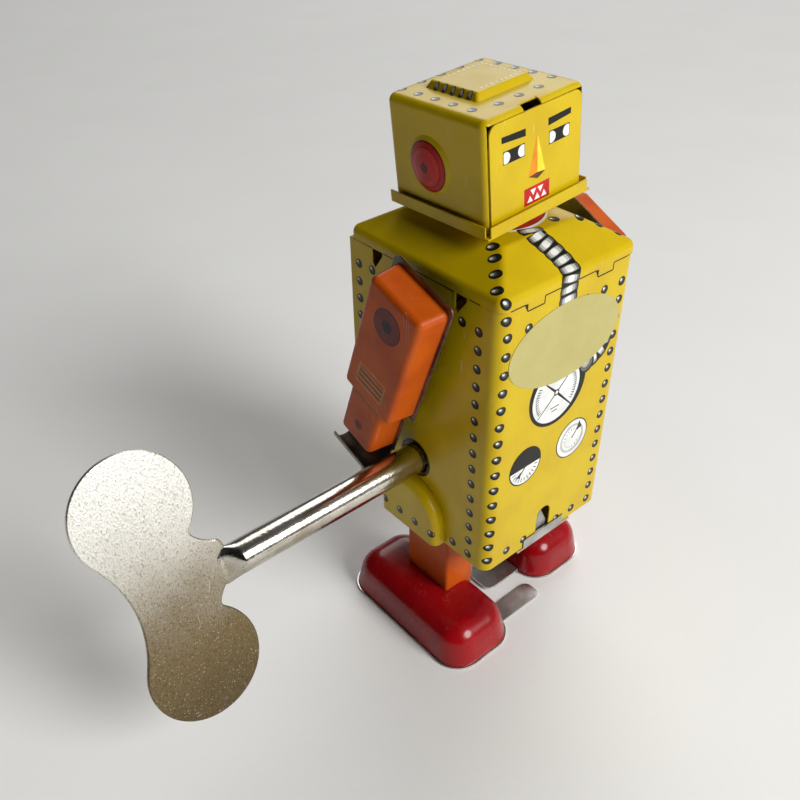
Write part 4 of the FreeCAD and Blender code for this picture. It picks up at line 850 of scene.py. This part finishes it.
def head_top_print():
    """Rivets round the top of the head, and marks round its raised crown."""
    right, back, up = head_axes()
    board = Board(NECK + up * 26.6, right, back, HEAD_TIN)
    sheet = Print(board, "slate", "grey", "pale_grey", "white")
    left, crown_right, crown_front, crown_back = -12.3, 7.6, -2.9, 9.3
    for u in (left, -6.2, 0.0, 6.2, 12.6):
        pale_rivet(sheet, u, 15.6)
    for v in (9.9, 4.1, -1.7, -7.6):
        pale_rivet(sheet, left, v)
        pale_rivet(sheet, 13.2, v)
    for u in (-6.2, 0.2, 6.6):
        pale_rivet(sheet, u, -9.6)
    for i in range(5):
        v = -2.6 + 2.7 * i
        sheet.disc(-7.9, v, 0.85, "slate", 0.035, rings=2, sides=14, squash=0.8)
        sheet.disc(-7.95, v + 0.1, 0.62, "pale_grey", 0.05, rings=2, sides=14, squash=0.8)
    dots = [(-4.6 + 1.55 * i, v) for i in range(9) for v in (crown_front, crown_back)]
    dots += [(crown_right, crown_front + 1.525 * i) for i in range(1, 8)]
    for dot in dots:
        sheet.disc(*dot, 0.36, "white", 0.04, sides=10)
    sheet.done("head_top_print", "head")


def ear_print_and_shading(side):
    """Red paint on the round ear. A slightly lighter ring is a painted highlight on its embossed ridges;
    the darker rings and the dark dimple in the middle are painted shade.
    """
    right, back, up = head_axes()
    sign = -1 if side == "right" else 1
    board = Board(NECK + right * sign * 16 + back * 3.4 + up * 12.3, back * sign, up, HEAD_TIN)
    sheet = Print(board, "red", "deep_red", "dark_red", "ear_ring")
    # painted highlight and painted shade: the lighter ring lights the ridges, the darker rings and the
    # middle dimple shade them
    discs = (
        (6.15, "dark_red", 0.05, 8, 44),
        (5.85, "red", 0.07, 8, 44),
        (4.9, "deep_red", 0.085, 7, 44),
        (4.6, "ear_ring", 0.10, 6, 40),
        (3.4, "red", 0.115, 5, 40),
        (1.25, "dark_red", 0.13, 2, 24),
    )
    for radius, colour, height, rings, sides in discs:
        sheet.disc(0, 0, radius, colour, height, rings, sides)
    sheet.done(f"ear_print_and_shading_{side}", "head")


# ---------------------------------------------------------------- print on the arms, with a painted step line

def arm_vents(sheet):
    """A framed panel with three louvres."""
    half, low, high = 5.0, -24.2, -17.6
    corners = [(-half, low), (half, low), (half, high), (-half, high), (-half, low)]
    for start, end in zip(corners, corners[1:]):
        sheet.stroke([start, end], 0.5, "cream", 0.05)
    for i in range(1, 4):
        level = low + (high - low) * i / 4
        sheet.stroke([(-half, level), (half, level)], 0.5, "cream", 0.05)
        sheet.stroke([(-half, level - 0.5), (half, level - 0.5)], 0.4, "black", SECOND)


def arm_print_and_step_shade(side):
    sign = -1 if side == "right" else 1
    turn = Matrix.Rotation(ARM_LEAN[side], 3, "X")
    tin = surface_of([f"arm_shell_{side}"])
    board = Board(SHOULDER + X * sign * 37, turn @ Y * sign, turn @ Z, tin)
    sheet = Print(board, "deep_red", "dark_red", "black", "cream", "brown")
    sheet.disc(0, 0, 4.8, "dark_red", 0.035, rings=2, sides=40)
    sheet.disc(0, 0, 4.5, "deep_red", 0.05, rings=2, sides=40)
    sheet.disc(0, 0, 1.7, "black", 0.065, sides=24)
    arm_vents(sheet)
    # painted highlight and painted shade: a cream line with a brown line under it draw the step where the
    # forearm sits lower, a step not built into the arm's tin
    for level, colour in ((-27.9, "cream"), (-28.3, "brown")):
        sheet.stroke([(-8.4 + 1.2 * i, level) for i in range(15)], 0.3, colour, 0.05)
    wrist = -38.7
    sheet.disc(0, wrist, 1.5, "deep_red", SECOND, sides=24)
    sheet.disc(0, wrist, 0.8, "dark_red", THIRD, sides=16)
    sheet.done(f"arm_print_and_step_shade_{side}", f"{side}_arm")


# ---------------------------------------------------------------- winding key

KEY = {
    "tip": -14.2,
    "radius": 4.3,
    "bore": 3.5,
    "flare_start": -81.6,
    "flare_end": -86.6,
    "flare_width": 5.0,
    "plate": 1.2,
    "lobe_radius": 14.6,
    "lobe_offset": 22.0,
    "lobe_middle": -99.2,
    "waist_hollow": 31.8,
    "slant": math.radians(4.4),
    "shift": Vector((-1.05, 1.03)),
}
TUBE_SIDES = 48


def key_place():
    return Matrix.Translation((0, ARBOR.y, ARBOR.z)) @ Matrix.Rotation(KEY_TURN, 4, "X")


def arc(start, middle, end, count):
    """Points on the circle through three points."""
    ax, ay = start
    bx, by = middle
    cx, cy = end
    aa, bb, cc = ax * ax + ay * ay, bx * bx + by * by, cx * cx + cy * cy
    d = 2 * (ax * (by - cy) + bx * (cy - ay) + cx * (ay - by))
    ux = (aa * (by - cy) + bb * (cy - ay) + cc * (ay - by)) / d
    uy = (aa * (cx - bx) + bb * (ax - cx) + cc * (bx - ax)) / d
    radius = math.hypot(ax - ux, ay - uy)
    first, half, last = (math.atan2(y - uy, x - ux) for x, y in (start, middle, end))
    sweep = (last - first) % (2 * math.pi)
    if (half - first) % (2 * math.pi) > sweep:
        sweep -= 2 * math.pi
    angles = [first + sweep * i / count for i in range(count)]
    return [Vector((ux + radius * math.cos(a), uy + radius * math.sin(a))) for a in angles]


def wing_outline():
    """The two lobes and the bridge between them, once round."""
    middle, offset, radius = KEY["lobe_middle"], KEY["lobe_offset"], KEY["lobe_radius"]
    lean, dip = math.radians(50), 0.9
    near_x, near_y = middle + radius * math.cos(lean), offset - radius * math.sin(lean)
    throat_x, throat_y = -82.5, KEY["radius"] + 0.6
    hollow = ((near_x + throat_x) / 2 - dip, (near_y + throat_y) / 2 - dip)
    # the far hollow is a circle that touches both lobes
    reach = radius + KEY["waist_hollow"]
    back, share = math.sqrt(reach ** 2 - offset ** 2), radius / reach
    far_x, far_y = middle - back * share, offset * (1 - share)
    waist = (middle - back + KEY["waist_hollow"], 0)
    points = arc((throat_x, throat_y), hollow, (near_x, near_y), 14)
    points += arc((near_x, near_y), (middle, offset + radius), (far_x, far_y), 90)
    points += arc((far_x, far_y), waist, (far_x, -far_y), 30)
    points += arc((far_x, -far_y), (middle, -offset - radius), (near_x, -near_y), 90)
    points += arc((near_x, -near_y), (hollow[0], -hollow[1]), (throat_x, -throat_y), 14)
    # three rounds of this take the corners off where the arcs meet
    for _ in range(3):
        after = points[1:] + points[:1]
        before = points[-1:] + points[:-1]
        points = [b * 0.5 + (a + c) * 0.25 for a, b, c in zip(before, points, after)]
    return [slanted(point) for point in points]


def slanted(point):
    """The wings sit a little askew on the tube."""
    pivot = Vector((KEY["lobe_middle"], 0))
    return pivot + Matrix.Rotation(KEY["slant"], 2) @ (point - pivot) + KEY["shift"]


def loft(mesh, loops):
    """A closed skin along some loops of points, with a flat face on each end."""
    count = len(loops[0])
    loops = [[mesh.verts.new(point) for point in loop] for loop in loops]
    mesh.faces.new(loops[0][::-1])
    for near, far in zip(loops, loops[1:]):
        for i in range(count):
            j = (i + 1) % count
            mesh.faces.new((near[i], near[j], far[j], far[i]))
    mesh.faces.new(loops[-1])
    bmesh.ops.recalc_face_normals(mesh, faces=mesh.faces)


def key_wings():
    mesh = bmesh.new()
    half = KEY["plate"] / 2
    outline = wing_outline()
    turn = 1 if twice_area(outline) > 0 else -1
    inward = []
    for before, after in zip(outline[-1:] + outline[:-1], outline[1:] + outline[:1]):
        way = (after - before).normalized()
        inward.append(Vector((-way.y, way.x)) * turn)
    # how far in from the outline, and how far up, the rounded edge runs
    low_edge = [(0.34, -half), (0.10, -half + 0.12), (0.0, -half + 0.34)]
    high_edge = [(inset, -level) for inset, level in reversed(low_edge)]
    loops = [
        [(*(point + way * inset), level) for point, way in zip(outline, inward)]
        for inset, level in low_edge + high_edge
    ]
    loft(mesh, loops)
    mesh.transform(key_place())
    wings = keep("key_wings", mesh, ["key_nickel"], "key", smooth=True)
    for polygon in wings.data.polygons:
        polygon.use_smooth = len(polygon.vertices) == 4
    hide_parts("winding_key")


def twice_area(points):
    """Twice the area inside a loop: above 0 where the loop runs anticlockwise."""
    return sum(a.x * b.y - b.x * a.y for a, b in zip(points, points[1:] + points[:1]))


def key_section(x, width, height, corner=2):
    """A closed loop across the tube: round where corner is 2, flatter sided above that."""
    loop = []
    for i in range(TUBE_SIDES):
        angle = 2 * math.pi * i / TUBE_SIDES
        cos, sin = math.cos(angle), math.sin(angle)
        scale = (abs(cos) ** corner + abs(sin) ** corner) ** (-1 / corner)
        loop.append(Vector((x, width * scale * cos, height * scale * sin)))
    return loop


def flare_sections():
    """The tube's end, pinched flat onto the wings."""
    start, end, wide = KEY["flare_start"], KEY["flare_end"], KEY["flare_width"]
    radius, flat = KEY["radius"], KEY["plate"] * 0.62
    sections = []
    for i in range(19):
        t = i / 18
        ease = t * t * (3 - 2 * t)
        width = radius + (wide - radius) * ease
        height = radius + (flat - radius) * ease ** 0.85
        sections.append(key_section(start + (end - start) * t, width, height, 2 + 0.8 * ease))
    return sections + [key_section(end - 2.2, wide - 1.2, KEY["plate"] * 0.4, 2.8)]


def key_tube():
    """The rolled tube, from its blind bore to its flare."""
    tip, radius, bore, bevel = KEY["tip"], KEY["radius"], KEY["bore"], 0.2
    sections = [key_section(tip - 5.0, bore, bore), key_section(tip, bore, bore)]
    sections += [key_section(tip, radius - bevel, radius - bevel), key_section(tip - bevel, radius, radius)]
    for i in range(1, 12):
        sections.append(key_section(tip + (KEY["flare_start"] - tip) * i / 12, radius, radius))
    mesh = bmesh.new()
    loft(mesh, sections + flare_sections())
    # the seam where the rolled edges meet, underneath
    for vert in mesh.verts:
        angle = math.atan2(vert.co.z, vert.co.y)
        if abs(angle + math.pi / 2) < 0.02 and math.hypot(vert.co.y, vert.co.z) > bore + 0.1:
            vert.co.z *= 0.93
    mesh.transform(key_place())
    keep("key_tube", mesh, ["tube_nickel"], "key", smooth=True)


# ---------------------------------------------------------------- build

seam_shade()
front_rivets()
dials()
gilt_label()
hose_print()
neck_disc()
roof_rivets()
for side in ("right", "left"):
    side_print_and_seam_shade(side)
    ear_print_and_shading(side)
    arm_print_and_step_shade(side)
key_hole_shade()
back_print()
face_print()
head_top_print()
key_wings()
key_tube()


# ---------------------------------------------------------------- floor, light and camera

def floor():
    half = 3000
    mesh = bmesh.new()
    bmesh.ops.create_grid(mesh, x_segments=12, y_segments=12, size=half)
    bmesh.ops.scale(mesh, vec=(MM, MM, MM), verts=mesh.verts)
    data = bpy.data.meshes.new("floor")
    mesh.to_mesh(data)
    mesh.free()
    g = Graph("floor_card")
    tone = g.blend(g.steps(g.noise(60), 0.3, 0.7), linear(242, 241, 238), linear(240, 239, 236))
    fibre = g.steps(g.noise(1.2), 0.45, 0.75, 0.0, 0.2)
    g.set("Base Color", g.blend(fibre, tone, linear(234, 233, 230)))
    g.set("Roughness", 0.9)
    g.set("Specular IOR Level", 0.15)
    data.materials.append(g.material)
    obj = bpy.data.objects.new("floor", data)
    bpy.context.scene.collection.objects.link(obj)


def lamp(name, way, distance, size, power):
    """A round soft light that looks at the toy from a direction. Its lengths are in metres."""
    data = bpy.data.lights.new(name, "AREA")
    data.shape = "DISK"
    data.size = size
    data.energy = power
    obj = bpy.data.objects.new(name, data)
    target = Vector((-0.02, 0, 0.07))
    obj.location = target + Vector(way).normalized() * distance
    obj.rotation_euler = (obj.location - target).to_track_quat("Z", "Y").to_euler()
    bpy.context.scene.collection.objects.link(obj)


def camera():
    """Looks down at the toy's front and right side. Its place is in metres."""
    place = (-0.1470, -0.1386, 0.2131)
    azimuth, height, roll = math.radians(-40.018), math.radians(36.155), math.radians(-0.751)
    level = math.cos(height)
    back = Vector((math.sin(azimuth) * level, -math.cos(azimuth) * level, math.sin(height)))
    right = Vector((math.cos(azimuth), math.sin(azimuth), 0))
    up = back.cross(right)
    turned_right = right * math.cos(roll) + up * math.sin(roll)
    turned_up = up * math.cos(roll) - right * math.sin(roll)
    turn = Matrix((turned_right, turned_up, back)).transposed().to_4x4()
    data = bpy.data.cameras.new("camera")
    data.sensor_width = 36
    data.lens = 38.916
    data.clip_start = 0.01
    obj = bpy.data.objects.new("camera", data)
    obj.matrix_world = Matrix.Translation(place) @ turn
    bpy.context.scene.collection.objects.link(obj)
    bpy.context.scene.camera = obj


def studio():
    """A room that lights the toy dimly, least on the key's side, behind a pale backdrop."""
    world = bpy.data.worlds.new("studio")
    world.use_nodes = True
    tree = world.node_tree
    way = tree.nodes.new("ShaderNodeTexCoord").outputs["Generated"]
    parts = tree.nodes.new("ShaderNodeSeparateXYZ")
    level = tree.nodes.new("ShaderNodeMapRange")
    tree.links.new(way, parts.inputs[0])
    tree.links.new(parts.outputs["X"], level.inputs["Value"])
    for name, value in (("From Min", -0.1), ("From Max", 0.9), ("To Min", 0.006), ("To Max", 0.26)):
        level.inputs[name].default_value = value
    seen = tree.nodes.new("ShaderNodeLightPath").outputs["Is Camera Ray"]
    backdrop = tree.nodes.new("ShaderNodeMix")
    backdrop.inputs["B"].default_value = 0.68
    tree.links.new(seen, backdrop.inputs["Factor"])
    tree.links.new(level.outputs["Result"], backdrop.inputs["A"])
    background = tree.nodes["Background"]
    background.inputs["Color"].default_value = (0.96, 0.97, 0.98, 1)
    tree.links.new(backdrop.outputs["Result"], background.inputs["Strength"])
    return world


floor()
lamp("key_light", (0.17, -0.80, 0.50), 1.25, 0.7, 16.3)
lamp("back_card", (0.75, 0.62, 0.85), 2.4, 2.0, 26)
camera()

bpy.context.scene.world = studio()
bpy.context.scene.view_settings.view_transform = "Standard"
